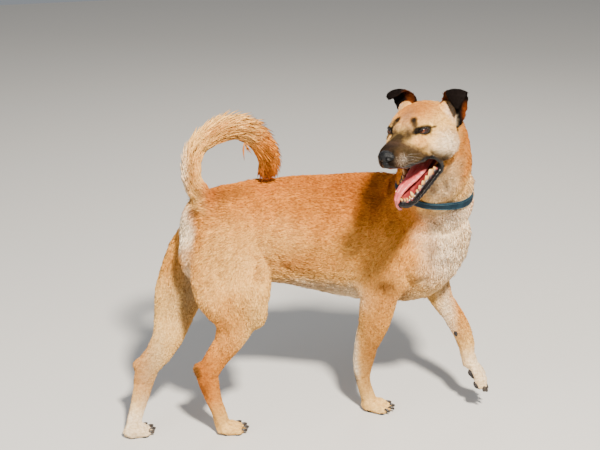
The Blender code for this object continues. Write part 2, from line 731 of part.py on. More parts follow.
trunk = copy_of(body, "trunk")
for name, spec in LEG_CUTS.items():
    cutter = leg_block(*spec, 0.5 * GAP)
    combined(trunk, cutter, "DIFFERENCE")
    drop(cutter)
    leg = painted(copy_of(body, name), "coat_pale")
    cutter = leg_block(*spec, -0.5 * GAP)
    combined(leg, cutter, "INTERSECT")
    drop(cutter)
    goal = Vector(PAWS[name][0])
    keep_piece(leg, lambda piece: -min((v.co - goal).length for v in piece))
    for shape in claws(*PAWS[name]):
        claw = add("claw", [shape], "coat_pale")
        combined(leg, claw, "UNION")
        drop(claw)
    below(leg, (0, 0, 0), (0, 0, -1))
keep_largest(trunk)
drop(body)

tail_rows = [(x, y, z, r, r) for x, y, z, r in TAIL]
tail = add("tail", [tube(tail_rows, TAIL_SIDE, around=12, steps=2)], "coat_tan")
clear_of(tail, trunk)

# ---------------------------------------------------------------- the head
head_place = matrix_of(HEAD_PLACE, HEAD_TURN_DEG, HEAD_SCALE)
jaw_place = head_place @ matrix_of(JAW_HINGE, (0.0, JAW_OPEN_DEG, 0.0), JAW_SCALE)

shapes = [tube([(x, 0.0, z, w, h) for x, z, w, h in SKULL], (0, 1, 0), around=28)]
for centre, half, turn in HEAD_LUMPS:
    shapes.append(lump(centre, half, turn))
    shapes.append(lump((centre[0], -centre[1], centre[2]), half, -turn))
shapes.append(lump(*THROAT_LUMP))
head = add("head", placed(shapes, head_place) + [neck_tube], "coat_tan")
fuse(head, HEAD_VOXEL, HEAD_EASE, HEAD_FACES)
point, way = NECK_HEAD_CUT
below(head, offset(point, way, 0.5 * GAP), tuple(-np.array(way)))
keep_largest(head)
palate = add("palate", placed([middle_tube(PALATE, 12)], head_place), "coat_tan")
combined(head, palate, "DIFFERENCE")
drop(palate)

for name, side in (("eye_left", 1), ("eye_right", -1)):
    centre = (EYE_CENTRE[0], EYE_CENTRE[1] * side, EYE_CENTRE[2])
    ball = lump(centre, (EYE_RADIUS,) * 3, around=12, rows=8)
    eye = add(name, placed([ball], head_place), "eye_brown")
    clear_of(head, eye)

nose_parts = []
for centre, half in NOSE_LUMPS:
    ball = lump(centre, half, around=10, rows=7)
    nose_parts.append(add("nose", placed([ball], head_place), "nose_black"))
nose, lower_nose = nose_parts
combined(nose, lower_nose, "UNION")
drop(lower_nose)
nose.name = "nose"
clear_of(nose, head)

jaw = add("jaw_lower", placed([middle_tube(JAW, 16)], jaw_place), "coat_pale")
trough = add("trough", placed([middle_tube(JAW_TROUGH, 10)], jaw_place), "coat_pale")
combined(jaw, trough, "DIFFERENCE")
drop(trough)
clear_of(jaw, head)
clear_of(jaw, neck)

# Both rows of lower teeth stand on one horseshoe of gum.
gum_half = [(x, y, GUM_Z, GUM_RADIUS, GUM_RADIUS) for x, y in GUM]
gum_rows = gum_half + [(x, -y, z, a, b) for x, y, z, a, b in reversed(gum_half[:-1])]
shapes = [tube(gum_rows, (0, 0, 1), around=10, steps=2)]
for x, y, height, half_length, half_width in LOWER_TEETH:
    for side in (1, -1):
        rows = []
        for rise, share in TOOTH_STATIONS:
            rows.append((x, y * side, GUM_Z + height * rise, half_width * share, half_length * share))
        shapes.append(tube(rows, (0, 1, 0), around=8, steps=1))
teeth = add("teeth_lower", placed(shapes, jaw_place), "teeth_ivory")
fuse(teeth, TEETH_VOXEL, 1, TEETH_FACES)
clear_of(teeth, jaw)

tongue = add("tongue", placed([tube(TONGUE, (0, 1, 0), around=10, steps=1)], jaw_place), "tongue_pink")
for other in (jaw, head, teeth):
    clear_of(tongue, other)

for name, rows in (("ear_left", EAR_LEFT), ("ear_right", EAR_RIGHT)):
    ear = add(name, placed([leaf(rows, EAR_CUP)], head_place), "ear_dark")
    clear_of(ear, head)

collar_size = (COLLAR_WIDTH, COLLAR_THICK, COLLAR_SINK)
collar = band("collar", neck, COLLAR_CENTRE, COLLAR_AXIS, *collar_size, "collar_teal")
clear_of(neck, collar)

# ---------------------------------------------------------------- turned along +X, centred on its box
turn = Matrix.Rotation(math.radians(TURN_DEG), 4, "Z")
corners = []
for obj in bpy.context.scene.objects:
    obj.data.transform(turn)
    corners.extend(vertex.co.to_tuple() for vertex in obj.data.vertices)
middle = 0.5 * (np.min(corners, axis=0) + np.max(corners, axis=0))
for obj in bpy.context.scene.objects:
    obj.data.transform(Matrix.Translation((-middle[0], -middle[1], 0.0)))
    obj.data.update()
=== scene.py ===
# %% [markdown]
# # A tan dog that stands and looks back over its right shoulder
#
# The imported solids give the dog's shape out to the tips of its coat. Here they are dressed:
# one skin is drawn over the flesh, a little inside the solids, and a coat of small tufts lies
# on it. Eyes, nose, mouth, claws, pads and collar are pieces of their own.

import math

import bmesh
import bpy
import numpy as np
from mathutils import Matrix, Vector
from mathutils.bvhtree import BVHTree


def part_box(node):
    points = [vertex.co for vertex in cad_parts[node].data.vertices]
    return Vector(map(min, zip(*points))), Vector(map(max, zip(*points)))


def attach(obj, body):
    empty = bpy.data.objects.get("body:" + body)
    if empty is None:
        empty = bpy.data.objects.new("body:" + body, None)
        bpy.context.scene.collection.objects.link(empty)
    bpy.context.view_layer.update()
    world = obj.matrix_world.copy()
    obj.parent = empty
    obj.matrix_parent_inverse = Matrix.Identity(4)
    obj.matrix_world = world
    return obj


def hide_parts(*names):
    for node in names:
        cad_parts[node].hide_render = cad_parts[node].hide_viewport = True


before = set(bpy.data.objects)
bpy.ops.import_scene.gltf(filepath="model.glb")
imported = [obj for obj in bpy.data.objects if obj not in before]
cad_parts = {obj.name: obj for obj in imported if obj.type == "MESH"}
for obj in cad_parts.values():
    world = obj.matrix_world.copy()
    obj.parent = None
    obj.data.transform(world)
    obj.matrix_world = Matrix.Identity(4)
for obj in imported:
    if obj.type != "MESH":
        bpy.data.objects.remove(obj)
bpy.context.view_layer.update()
print("solids:", sorted(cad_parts))

# %% [markdown]
# ## Places on the dog
#
# The dog was drawn in a yard frame and then turned so that its trunk lies along X. Places that
# belong to the body are given in the yard frame, places on the face in the head's own frame
# (x to the nose, y to the left ear, z up) and places in the mouth in the jaw's frame. Three
# matrices carry them into the model.

# %% Frames
YARD = Matrix.Translation((-0.00039, 0.13651, 0.0)) @ Matrix.Rotation(math.radians(-15.0), 4, "Z")


def turned(place, roll, pitch, heading, scale=1.0):
    """Roll about x, pitch about y, heading about z, then a move."""
    turn = Matrix.Rotation(math.radians(heading), 4, "Z") @ Matrix.Rotation(math.radians(pitch), 4, "Y")
    turn = turn @ Matrix.Rotation(math.radians(roll), 4, "X")
    return Matrix.Translation(place) @ turn @ Matrix.Scale(scale, 4)


HEAD = YARD @ turned((0.2185, -0.248, 0.777), 9.0, -3.5, 235.0)
JAW = HEAD @ turned((-0.0955, 0.0, -0.0654), 0.0, 34.0, 0.0, 1.07)


def moved(points, matrix):
    m = np.array(matrix)
    return np.asarray(points, float) @ m[:3, :3].T + m[:3, 3]


def back(points, matrix):
    return moved(points, matrix.inverted())


def mm(values):
    """Tables give lengths in millimetres, and the model is in metres."""
    return np.round(np.asarray(values, float) / 1000.0, 7)


print("nose tip at", np.round(moved([(0.100, 0, -0.04)], HEAD), 3))

# %% Mesh helpers
def points_of(mesh):
    co = np.empty(len(mesh.vertices) * 3)
    mesh.vertices.foreach_get("co", co)
    return co.reshape(-1, 3)


def normals_of(mesh):
    mesh.update()
    no = np.empty(len(mesh.vertices) * 3)
    mesh.vertices.foreach_get("normal", no)
    return no.reshape(-1, 3)


def set_points(mesh, points):
    mesh.vertices.foreach_set("co", np.asarray(points, float).ravel())
    mesh.update()


def edges_of(mesh):
    pairs = np.empty(len(mesh.edges) * 2, np.int64)
    mesh.edges.foreach_get("vertices", pairs)
    return pairs.reshape(-1, 2)


# %% Evening out
def spread(values, pairs, steps, share=0.5):
    """Evens out one or more values over a mesh along its edges."""
    a, b = pairs.T
    count = len(values)
    valence = np.bincount(a, minlength=count) + np.bincount(b, minlength=count)
    values = values.astype(float).copy()
    flat = values.reshape(count, -1)
    for _ in range(steps):
        for k in range(flat.shape[1]):
            total = np.bincount(a, flat[b, k], count) + np.bincount(b, flat[a, k], count)
            flat[:, k] += share * (total / valence - flat[:, k])
    return flat.reshape(values.shape)


def eased(points, pairs, rounds):
    """Smooths without shrinking: a step in, then a slightly longer step out."""
    for step in (0.5, -0.52) * rounds:
        points = spread(points, pairs, 1, step)
    return points


def near(points, centre, radii):
    """One at the centre, nought at and beyond an ellipsoid."""
    return np.clip(1.0 - np.linalg.norm((points - centre) / radii, axis=1), 0.0, 1.0)


# %% Making and cleaning objects
def make(name, points, faces):
    mesh = bpy.data.meshes.new(name)
    mesh.from_pydata(np.asarray(points, float).tolist(), [], [tuple(map(int, f)) for f in faces])
    obj = bpy.data.objects.new(name, mesh)
    bpy.context.scene.collection.objects.link(obj)
    mesh.polygons.foreach_set("use_smooth", [True] * len(mesh.polygons))
    mesh.update()
    return obj


def settled(obj):
    """The object with its modifiers worked into a plain mesh."""
    graph = bpy.context.evaluated_depsgraph_get()
    worked = obj.evaluated_get(graph)
    mesh = bpy.data.meshes.new_from_object(worked, preserve_all_data_layers=True, depsgraph=graph)
    obj.modifiers.clear()
    obj.data = mesh
    return obj


def remeshed(obj, voxel):
    modifier = obj.modifiers.new("voxels", "REMESH")
    modifier.mode = "VOXEL"
    modifier.voxel_size = voxel
    modifier.use_smooth_shade = True
    return settled(obj)


def faced_out(obj):
    bm = bmesh.new()
    bm.from_mesh(obj.data)
    bmesh.ops.recalc_face_normals(bm, faces=bm.faces)
    bm.to_mesh(obj.data)
    bm.free()
    return obj


def tree_of(mesh, points=None):
    """A mesh's faces, ready for rays and nearest points; `points` may stand for its own."""
    spots = [v.co for v in mesh.vertices] if points is None else [Vector(spot) for spot in points]
    return BVHTree.FromPolygons(spots, [face.vertices for face in mesh.polygons])


def stands_for(piece, slot, *nodes):
    """Hides the solids that a piece replaces and hangs the piece on the root; its finish slot is not used.
    """
    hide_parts(*nodes)
    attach(piece, "root")


def keep_largest(obj):
    """Drops loose bits, so that only the largest closed surface stays."""
    bm = bmesh.new()
    bm.from_mesh(obj.data)
    bm.verts.ensure_lookup_table()
    label = np.full(len(bm.verts), -1)
    sizes = []
    for start in bm.verts:
        if label[start.index] >= 0:
            continue
        label[start.index] = len(sizes)
        stack, count = [start], 0
        while stack:
            vertex = stack.pop()
            count += 1
            for edge in vertex.link_edges:
                other = edge.other_vert(vertex)
                if label[other.index] < 0:
                    label[other.index] = len(sizes)
                    stack.append(other)
        sizes.append(count)
    best = int(np.argmax(sizes))
    if len(sizes) > 1:
        bmesh.ops.delete(bm, geom=[v for v in bm.verts if label[v.index] != best], context="VERTS")
        bm.to_mesh(obj.data)
    bm.free()
    return obj


# %% [markdown]
# ## Shader maths
#
# A marking is a soft patch: one wherever the point lies well inside an ellipsoid, zero outside.
# Patches are added up and mixed like values in Python, so each operator on a wrapped socket adds
# the matching Math node.

# %% A socket that does maths
class Sock:
    """A socket of a shader tree. Operators add Math nodes, and other nodes come from `add`."""

    def __init__(self, tree, out):
        self.tree, self.out = tree, out

    @staticmethod
    def _put(tree, socket, value):
        if isinstance(value, Sock):
            tree.links.new(value.out, socket)
        elif value is not None:
            if hasattr(socket.default_value, "__len__") and not hasattr(value, "__len__"):
                value = (value,) * len(socket.default_value)
            if hasattr(value, "__len__") and len(value) == 3 and len(socket.default_value) == 4:
                value = (*value, 1.0)
            socket.default_value = value

    @staticmethod
    def add(tree, kind, settings=None, inputs=None, out=0):
        node = tree.nodes.new(kind)
        for key, value in (settings or {}).items():
            setattr(node, key, value)
        for key, value in (inputs or {}).items():
            Sock._put(tree, node.inputs[key], value)
        return Sock(tree, node.outputs[out])

    def math(self, operation, *values):
        return Sock.add(self.tree, "ShaderNodeMath", {"operation": operation}, dict(enumerate(values)))

    def __add__(self, o):
        return self.math("ADD", self, o)

    __radd__ = __add__

    def __mul__(self, o):
        return self.math("MULTIPLY", self, o)

    __rmul__ = __mul__

    def __sub__(self, o):
        return self.math("SUBTRACT", self, o)

    def __rsub__(self, o):
        return self.math("SUBTRACT", o, self)

    def max(self, o):
        return self.math("MAXIMUM", self, o)

    def step(self, low, high):
        """Nought below `low`, one above `high`, smooth between."""
        values = {"Value": self, "From Min": low, "From Max": high}
        return Sock.add(self.tree, "ShaderNodeMapRange", {"interpolation_type": "SMOOTHSTEP"}, values)


# %% Colours, vectors and textures
def vec(operation, a, b=None, scale=None, out=0):
    inputs = {0: a}
    if b is not None:
        inputs[1] = b
    if scale is not None:
        inputs["Scale"] = scale
    return Sock.add(a.tree, "ShaderNodeVectorMath", {"operation": operation}, inputs, out)


def mix(share, a, b):
    """Colour a where share is nought, b where it is one."""
    return Sock.add(share.tree, "ShaderNodeMix", {"data_type": "RGBA"}, {0: share, 6: a, 7: b}, out=2)


def noise(at, scale, detail=3.0, stretch=None):
    if stretch:
        at = vec("MULTIPLY", at, stretch)
    return Sock.add(at.tree, "ShaderNodeTexNoise", {}, {"Vector": at, "Scale": scale, "Detail": detail})


def cells(at, scale, feature="DISTANCE_TO_EDGE"):
    """Pebbles: how far a point lies from the edge of its cell, or from its middle with F1."""
    return Sock.add(at.tree, "ShaderNodeTexVoronoi", {"feature": feature}, {"Vector": at, "Scale": scale})


def axis_of(at, axis):
    return Sock.add(at.tree, "ShaderNodeSeparateXYZ", {}, {0: at}, out=axis)


# %% Materials
def surface(name, **constants):
    """A new material, its tree and its Principled shader, with constant values set on the shader."""
    made = bpy.data.materials.new(name)
    made.use_nodes = True
    tree = made.node_tree
    shader = tree.nodes["Principled BSDF"]
    for key, value in constants.items():
        Sock._put(tree, shader.inputs[key.replace("_", " ")], value)
    return made, tree, shader


def place_of(tree):
    return Sock.add(tree, "ShaderNodeTexCoord", out="Object")


def attribute(tree, name):
    settings = {"attribute_name": name, "attribute_type": "GEOMETRY"}
    return Sock.add(tree, "ShaderNodeAttribute", settings, out="Fac")


def bumped(shader, height, strength, distance):
    inputs = {"Height": height, "Strength": strength, "Distance": distance}
    normal = Sock.add(shader.id_data, "ShaderNodeBump", {}, inputs)
    shader.id_data.links.new(normal.out, shader.inputs["Normal"])


def feed(shader, **links):
    for key, value in links.items():
        Sock._put(shader.id_data, shader.inputs[key.replace("_", " ")], value)


# %% [markdown]
# ## The markings
#
# The coat is golden tan along the back and cream below. The face is cream with a dark mask on
# the muzzle, dark spots over the eyes and dark ears; belly, chest, buttocks and feet are
# whitish. A few dark patches on the body are painted shade in folds and hollows. Skin and tufts
# both call the same function, so their markings agree.

# %% Colours of the coat
TAN = (0.50, 0.145, 0.016)
GOLD = (0.68, 0.262, 0.038)
FAWN = (0.76, 0.370, 0.078)
CREAM = (0.84, 0.540, 0.190)
WHITE = (0.93, 0.800, 0.610)
GREY = (0.25, 0.145, 0.088)
DARK = (0.011, 0.006, 0.004)
BLACK = (0.0035, 0.0030, 0.0030)
RUSSET = (0.17, 0.040, 0.006)
MOUTH = (0.16, 0.014, 0.014)
EAR_BLACK = (0.0045, 0.0025, 0.0020)


# %% Soft patches
def local(tree, matrix):
    """Object coordinates as seen in another frame."""
    inverse = matrix.inverted()
    rotation = inverse.to_euler("XYZ")
    settings = {"vector_type": "POINT"}
    inputs = {"Location": inverse.to_translation(), "Rotation": rotation, "Scale": inverse.to_scale()}
    return Sock.add(tree, "ShaderNodeMapping", settings, {"Vector": place_of(tree), **inputs})


def patch(at, centre, radii, edge, wobble=None):
    """One inside an ellipsoid and nought outside, over a soft edge that is a share of its radius."""
    away = vec("DIVIDE", vec("SUBTRACT", at, tuple(centre)), tuple(radii))
    reach = vec("LENGTH", away, out="Value")
    if wobble is not None:
        reach = reach + wobble
    return 1.0 - reach.step(1.0 - edge, 1.0 + edge)


def both_sides(where):
    """A place and its mirror image, or the place alone if it is on the middle line."""
    return [where * (1, side, 1) for side in ((1, -1) if where[1] else (1,))]


# %% The markings
def masked(colour, head, fine_noise):
    """The mask: the muzzle under a slanting line, darkest along the lips, greyer beside the nose."""
    along, up = axis_of(head, "X"), axis_of(head, "Z")
    below = along * 0.60 - 0.044 - up + fine_noise * 0.022
    mask = below.step(-0.010, 0.011) * along.step(-0.056, -0.034) * up.step(-0.105, -0.090)
    mask = mask * patch(head, (0.02, 0.0, -0.05), (0.13, 0.085, 0.085), 0.1)
    spots = both_sides(mm(LIP_GREY))
    left, right = (patch(head, spot, mm(LIP_GREY_RADII), 0.6, fine_noise) for spot in spots)
    speckle = noise(head, 460.0).step(0.46, 0.62)
    dusk = mix(fine_noise.step(-0.14, 0.14), (0.003, 0.002, 0.0016), (0.015, 0.009, 0.007))
    dusk = mix(below.step(0.026, 0.006) * 0.14, dusk, GREY)
    muzzle = mix(left.max(right) * (0.05 + speckle * 0.62), dusk, (0.50, 0.43, 0.37))
    colour = mix(mask * 0.95, colour, muzzle)
    return mix(patch(head, mm(MOLE), (0.0030, 0.0030, 0.0036), 0.4) * 0.85, colour, DARK)


def coat_colour(tree):
    """The markings, with painted shade in some folds and hollows: skin and tufts both call this, so they
    agree.
    """
    yard, head = local(tree, YARD), local(tree, HEAD)
    body_noise = (noise(yard, 24.0, 4.0) - 0.5) * 0.7
    fine_noise = (noise(head, 110.0) - 0.5) * 0.5
    height = axis_of(yard, "Z")

    # Trunk: gold along the back, fawn on the flank, cream under it.
    colour = mix((height + body_noise * 0.07).step(0.42, 0.56), FAWN, GOLD)
    colour = mix((height + body_noise * 0.05).step(0.42, 0.31), colour, CREAM)
    for where, radii, edge, tint, share in BODY_PATCHES:
        colour = mix(patch(yard, mm(where), mm(radii), edge, body_noise) * share, colour, tint)
    for where, radii, edge, tint, share in HEAD_PATCHES:
        for spot in both_sides(mm(where)):
            colour = mix(patch(head, spot, mm(radii), edge, fine_noise) * share, colour, tint)
    colour = masked(colour, head, fine_noise)

    # Ears: dark flaps with a rust edge, pale inside the cup.
    flap = attribute(tree, "ear")
    colour = mix((flap + fine_noise * 0.3).step(0.35, 0.65), colour, EAR_BLACK)
    for where, radii, tint, share in EAR_PATCHES:
        for spot in both_sides(mm(where)):
            marked = patch(head, spot, mm(radii), 0.5, fine_noise) * flap.step(0.25, 0.50) * share
            colour = mix(marked, colour, tint)

    # A slow drift of warmth and small darker clumps keep a broad area from looking flat.
    drift = noise(yard, 14.0).step(0.3, 0.7)
    clumps = noise(yard, 230.0, 2.0, stretch=(0.6, 1.0, 1.0)).step(0.36, 0.62)
    colour = vec("MULTIPLY", colour, mix(clumps, (0.84, 0.78, 0.70), (1.05, 1.06, 1.09)))
    return vec("MULTIPLY", colour, mix(drift, (0.90, 0.85, 0.76), (1.05, 1.05, 1.05)))


# %% Where each marking lies
# Body patches: centre and radii in millimetres in the yard frame, softness of the edge, colour, strength.
BODY_PATCHES = [
    ((80, 0, 600), (240, 70, 35), 0.8, TAN, 0.75),
    # deeper tan over the withers: partly the saddle's own colour, partly the head's cast shadow painted in
    ((150, -30, 570), (90, 60, 75), 0.8, TAN, 0.65),
    # a russet stripe on the shoulder: painted shade within the head's cast shadow
    ((170, -55, 560), (16, 30, 48), 0.9, RUSSET, 0.45),
    ((-200, -95, 590), (50, 35, 20), 0.7, TAN, 0.55),
    ((-170, -120, 500), (75, 60, 60), 0.8, FAWN, 0.85),
    ((-235, -90, 640), (60, 60, 100), 0.3, CREAM, 0.75),
    ((-170, -70, 725), (110, 50, 45), 0.4, CREAM, 0.65),
    ((-268, -100, 640), (20, 60, 110), 0.6, WHITE, 0.75),
    ((-170, -70, 765), (110, 60, 22), 0.7, CREAM, 0.75),
    ((-110, -80, 400), (110, 80, 90), 0.8, CREAM, 0.6),
    ((-170, -150, 430), (50, 50, 90), 0.8, CREAM, 0.55),
    # the pale buttocks, and the pale rear edge of the thighs
    ((-262, -105, 500), (34, 45, 45), 0.5, WHITE, 1.0),
    ((-245, -90, 420), (20, 50, 90), 0.6, WHITE, 0.8),
    ((-245, -117, 548), (22, 20, 10), 0.7, RUSSET, 0.75),
    # belly and chest
    # a tan patch low on the flank: painted shade under the fold of the flank
    ((-20, -60, 400), (60, 40, 30), 0.9, TAN, 0.40),
    ((40, 0, 315), (240, 90, 35), 0.6, WHITE, 0.7),
    ((60, -20, 335), (110, 50, 16), 0.8, GREY, 0.35),
    ((350, -50, 450), (75, 80, 110), 0.6, WHITE, 0.9),
    ((350, -90, 570), (60, 45, 75), 0.6, WHITE, 0.85),
    ((300, -130, 640), (60, 60, 110), 0.5, CREAM, 0.9),
    ((310, -160, 620), (35, 40, 70), 0.7, WHITE, 0.55),
    ((368, -128, 665), (19, 45, 85), 0.6, GOLD, 0.75),
    ((370, -100, 600), (30, 50, 50), 0.6, CREAM, 0.7),
    # grey in the folds of the throat and along the fold of the chest: painted shade
    ((286, -155, 614), (9, 20, 22), 0.9, GREY, 0.60),
    ((314, -154, 618), (6, 20, 18), 0.9, GREY, 0.45),
    ((300, -88, 445), (12, 20, 30), 0.9, GREY, 0.55),
    ((336, -94, 532), (22, 20, 14), 0.9, GREY, 0.60),
    ((300, -90, 520), (14, 20, 20), 0.9, GREY, 0.35),
    # hind legs: tan shanks, dark points of the hocks, pale feet
    ((-170, -150, 300), (50, 40, 70), 0.7, FAWN, 0.7),
    ((-195, -135, 170), (55, 50, 160), 0.8, GOLD, 0.90),
    ((-225, -135, 150), (22, 40, 80), 0.8, TAN, 0.80),
    ((-238, -135, 165), (12, 20, 14), 0.6, DARK, 0.65),
    ((-222, -150, 125), (10, 14, 28), 0.8, RUSSET, 0.55),
    ((-372, -75, 150), (26, 40, 110), 0.7, GOLD, 0.80),
    ((-340, -110, 150), (45, 30, 150), 0.8, (0.46, 0.34, 0.22), 0.60),
    ((-240, -60, 330), (50, 60, 90), 0.8, (0.40, 0.27, 0.15), 0.60),
    ((-165, -115, 20), (55, 60, 45), 0.8, CREAM, 0.85),
    ((-385, -130, 20), (55, 60, 50), 0.8, WHITE, 0.80),
    # forelegs: gold outside, whitish behind, cream feet
    ((185, -60, 250), (45, 50, 140), 0.7, FAWN, 0.95),
    ((200, -85, 340), (50, 45, 60), 0.8, (0.62, 0.28, 0.060), 0.80),
    ((172, -40, 170), (32, 36, 140), 0.8, (0.44, 0.200, 0.050), 0.80),
    # dark brown in the hollow behind the elbow: painted shade
    ((196, -93, 355), (25, 30, 20), 0.8, (0.17, 0.066, 0.016), 0.85),
    # dull brown on the chest's fold and a thin strip under its bulge: painted shade
    ((298, -87, 503), (20, 24, 14), 0.9, (0.20, 0.140, 0.090), 0.60),
    ((334, -75, 416), (26, 30, 8), 0.9, (0.30, 0.210, 0.130), 0.50),
    ((128, -20, 160), (14, 26, 110), 0.6, WHITE, 0.90),
    ((132, -12, 85), (10, 14, 16), 0.7, DARK, 0.55),
    ((190, -15, 20), (50, 45, 35), 0.7, CREAM, 0.85),
    ((390, 40, 260), (34, 36, 110), 0.7, GOLD, 0.85),
    ((352, 10, 245), (20, 30, 100), 0.8, WHITE, 0.75),
    ((385, -4, 190), (12, 14, 50), 0.9, GREY, 0.40),
    ((430, 0, 100), (45, 40, 50), 0.7, WHITE, 0.75),
    # the tail: deep gold inside its curl, pale along the outer edge
    ((-152, -60, 650), (60, 60, 56), 0.45, TAN, 0.85),
    ((-78, -22, 612), (22, 30, 22), 0.6, TAN, 0.85),
    ((-198, -75, 578), (20, 40, 45), 0.7, TAN, 0.85),
    ((-160, -70, 580), (45, 50, 12), 0.8, RUSSET, 0.45),
]
# Head patches: the same in the head's frame; a patch off the middle line is on both sides.
HEAD_PATCHES = [
    ((-30, 0, -10), (125, 85, 85), 0.25, CREAM, 1.0),
    ((-30, 0, 40), (75, 48, 34), 0.6, (0.66, 0.270, 0.050), 0.90),
    ((-18, 0, 42), (50, 32, 24), 0.9, (0.30, 0.100, 0.018), 0.60),
    ((4, 0, 28), (32, 13, 16), 0.8, GREY, 0.60),
    ((-45, 65, -40), (40, 25, 30), 0.6, WHITE, 0.80),
    ((-105, 58, -30), (22, 30, 50), 0.6, FAWN, 0.60),
    ((20, 38, -20), (20, 14, 13), 0.7, GOLD, 0.40),
    ((20, 20, 6), (14, 12, 12), 0.8, GREY, 0.65),
    ((54, 0, -12), (52, 22, 25), 0.55, (0.006, 0.003, 0.002), 0.97),
    ((30, 18, -6), (14, 8, 12), 0.8, (0.016, 0.008, 0.004), 0.90),
    ((-42, 56, -64), (18, 18, 13), 0.7, DARK, 0.85),
    ((-15, 50, -56), (24, 16, 12), 0.8, (0.026, 0.016, 0.011), 0.80),
    ((-77, 63, 27), (15, 15, 22), 0.6, (0.60, 0.460, 0.360), 0.85),
    ((92, 0, -45), (14, 24, 24), 0.5, BLACK, 0.90),
    ((5.5, 19, 22.5), (8, 7.5, 10), 0.55, BLACK, 0.97),
    ((10.5, 24, 13), (6.5, 6.5, 11), 0.7, BLACK, 0.88),
    ((21, 27.5, -4), (9, 6, 5), 0.6, DARK, 0.90),
    ((14, 31, 1), (12, 8.5, 8.5), 0.35, BLACK, 0.98),
    ((2, 42, 0.5), (17.5, 15, 10.2), 0.30, BLACK, 0.98),
    ((-18, 51, 3.5), (12, 5, 2.2), 0.5, DARK, 0.85),
    ((-35, 34, -105), (60, 14, 12), 0.6, CREAM, 0.60),
]
MOLE = (-47, 72.1, -32.6)
LIP_GREY, LIP_GREY_RADII = (72, 26, -48), (12.5, 16, 11.5)
EAR_PATCHES = [
    ((-73, 60, 12), (14, 16, 22), WHITE, 0.90),
    ((-66, 60, 24), (10, 14, 14), WHITE, 0.80),
    ((-69, 58, 19), (4, 10, 4), DARK, 0.90),
    ((-79, 42, 46), (14, 14, 22), RUSSET, 0.85),
    ((-66, 52, 39), (10, 8, 18), (0.34, 0.095, 0.014), 0.85),
    ((-94, 90, 20), (10, 12, 22), RUSSET, 0.80),
]
print(len(BODY_PATCHES), "patches on the body,", len(HEAD_PATCHES) + len(EAR_PATCHES), "on the head")

# %% [markdown]
# ## Guides for the coat
#
# Hair lies away from the nose, back along the body and down the legs. Each guide row is a run
# of points along a part of the dog, in the order in which its hair lies, with the hair's length
# and how deep the skin lies under the coat. Every point of the skin blends the guides near it.

# %% Grooming guides
# Each point of a run: x, y, z, length of the hair and depth of the skin, in millimetres.
def run(frame_matrix, rows):
    rows = mm(rows)
    places = moved(rows[:, :3], frame_matrix)
    ways = np.gradient(places, axis=0)
    ways /= np.linalg.norm(ways, axis=1)[:, None]
    return np.hstack([places, ways, rows[:, 3:]])


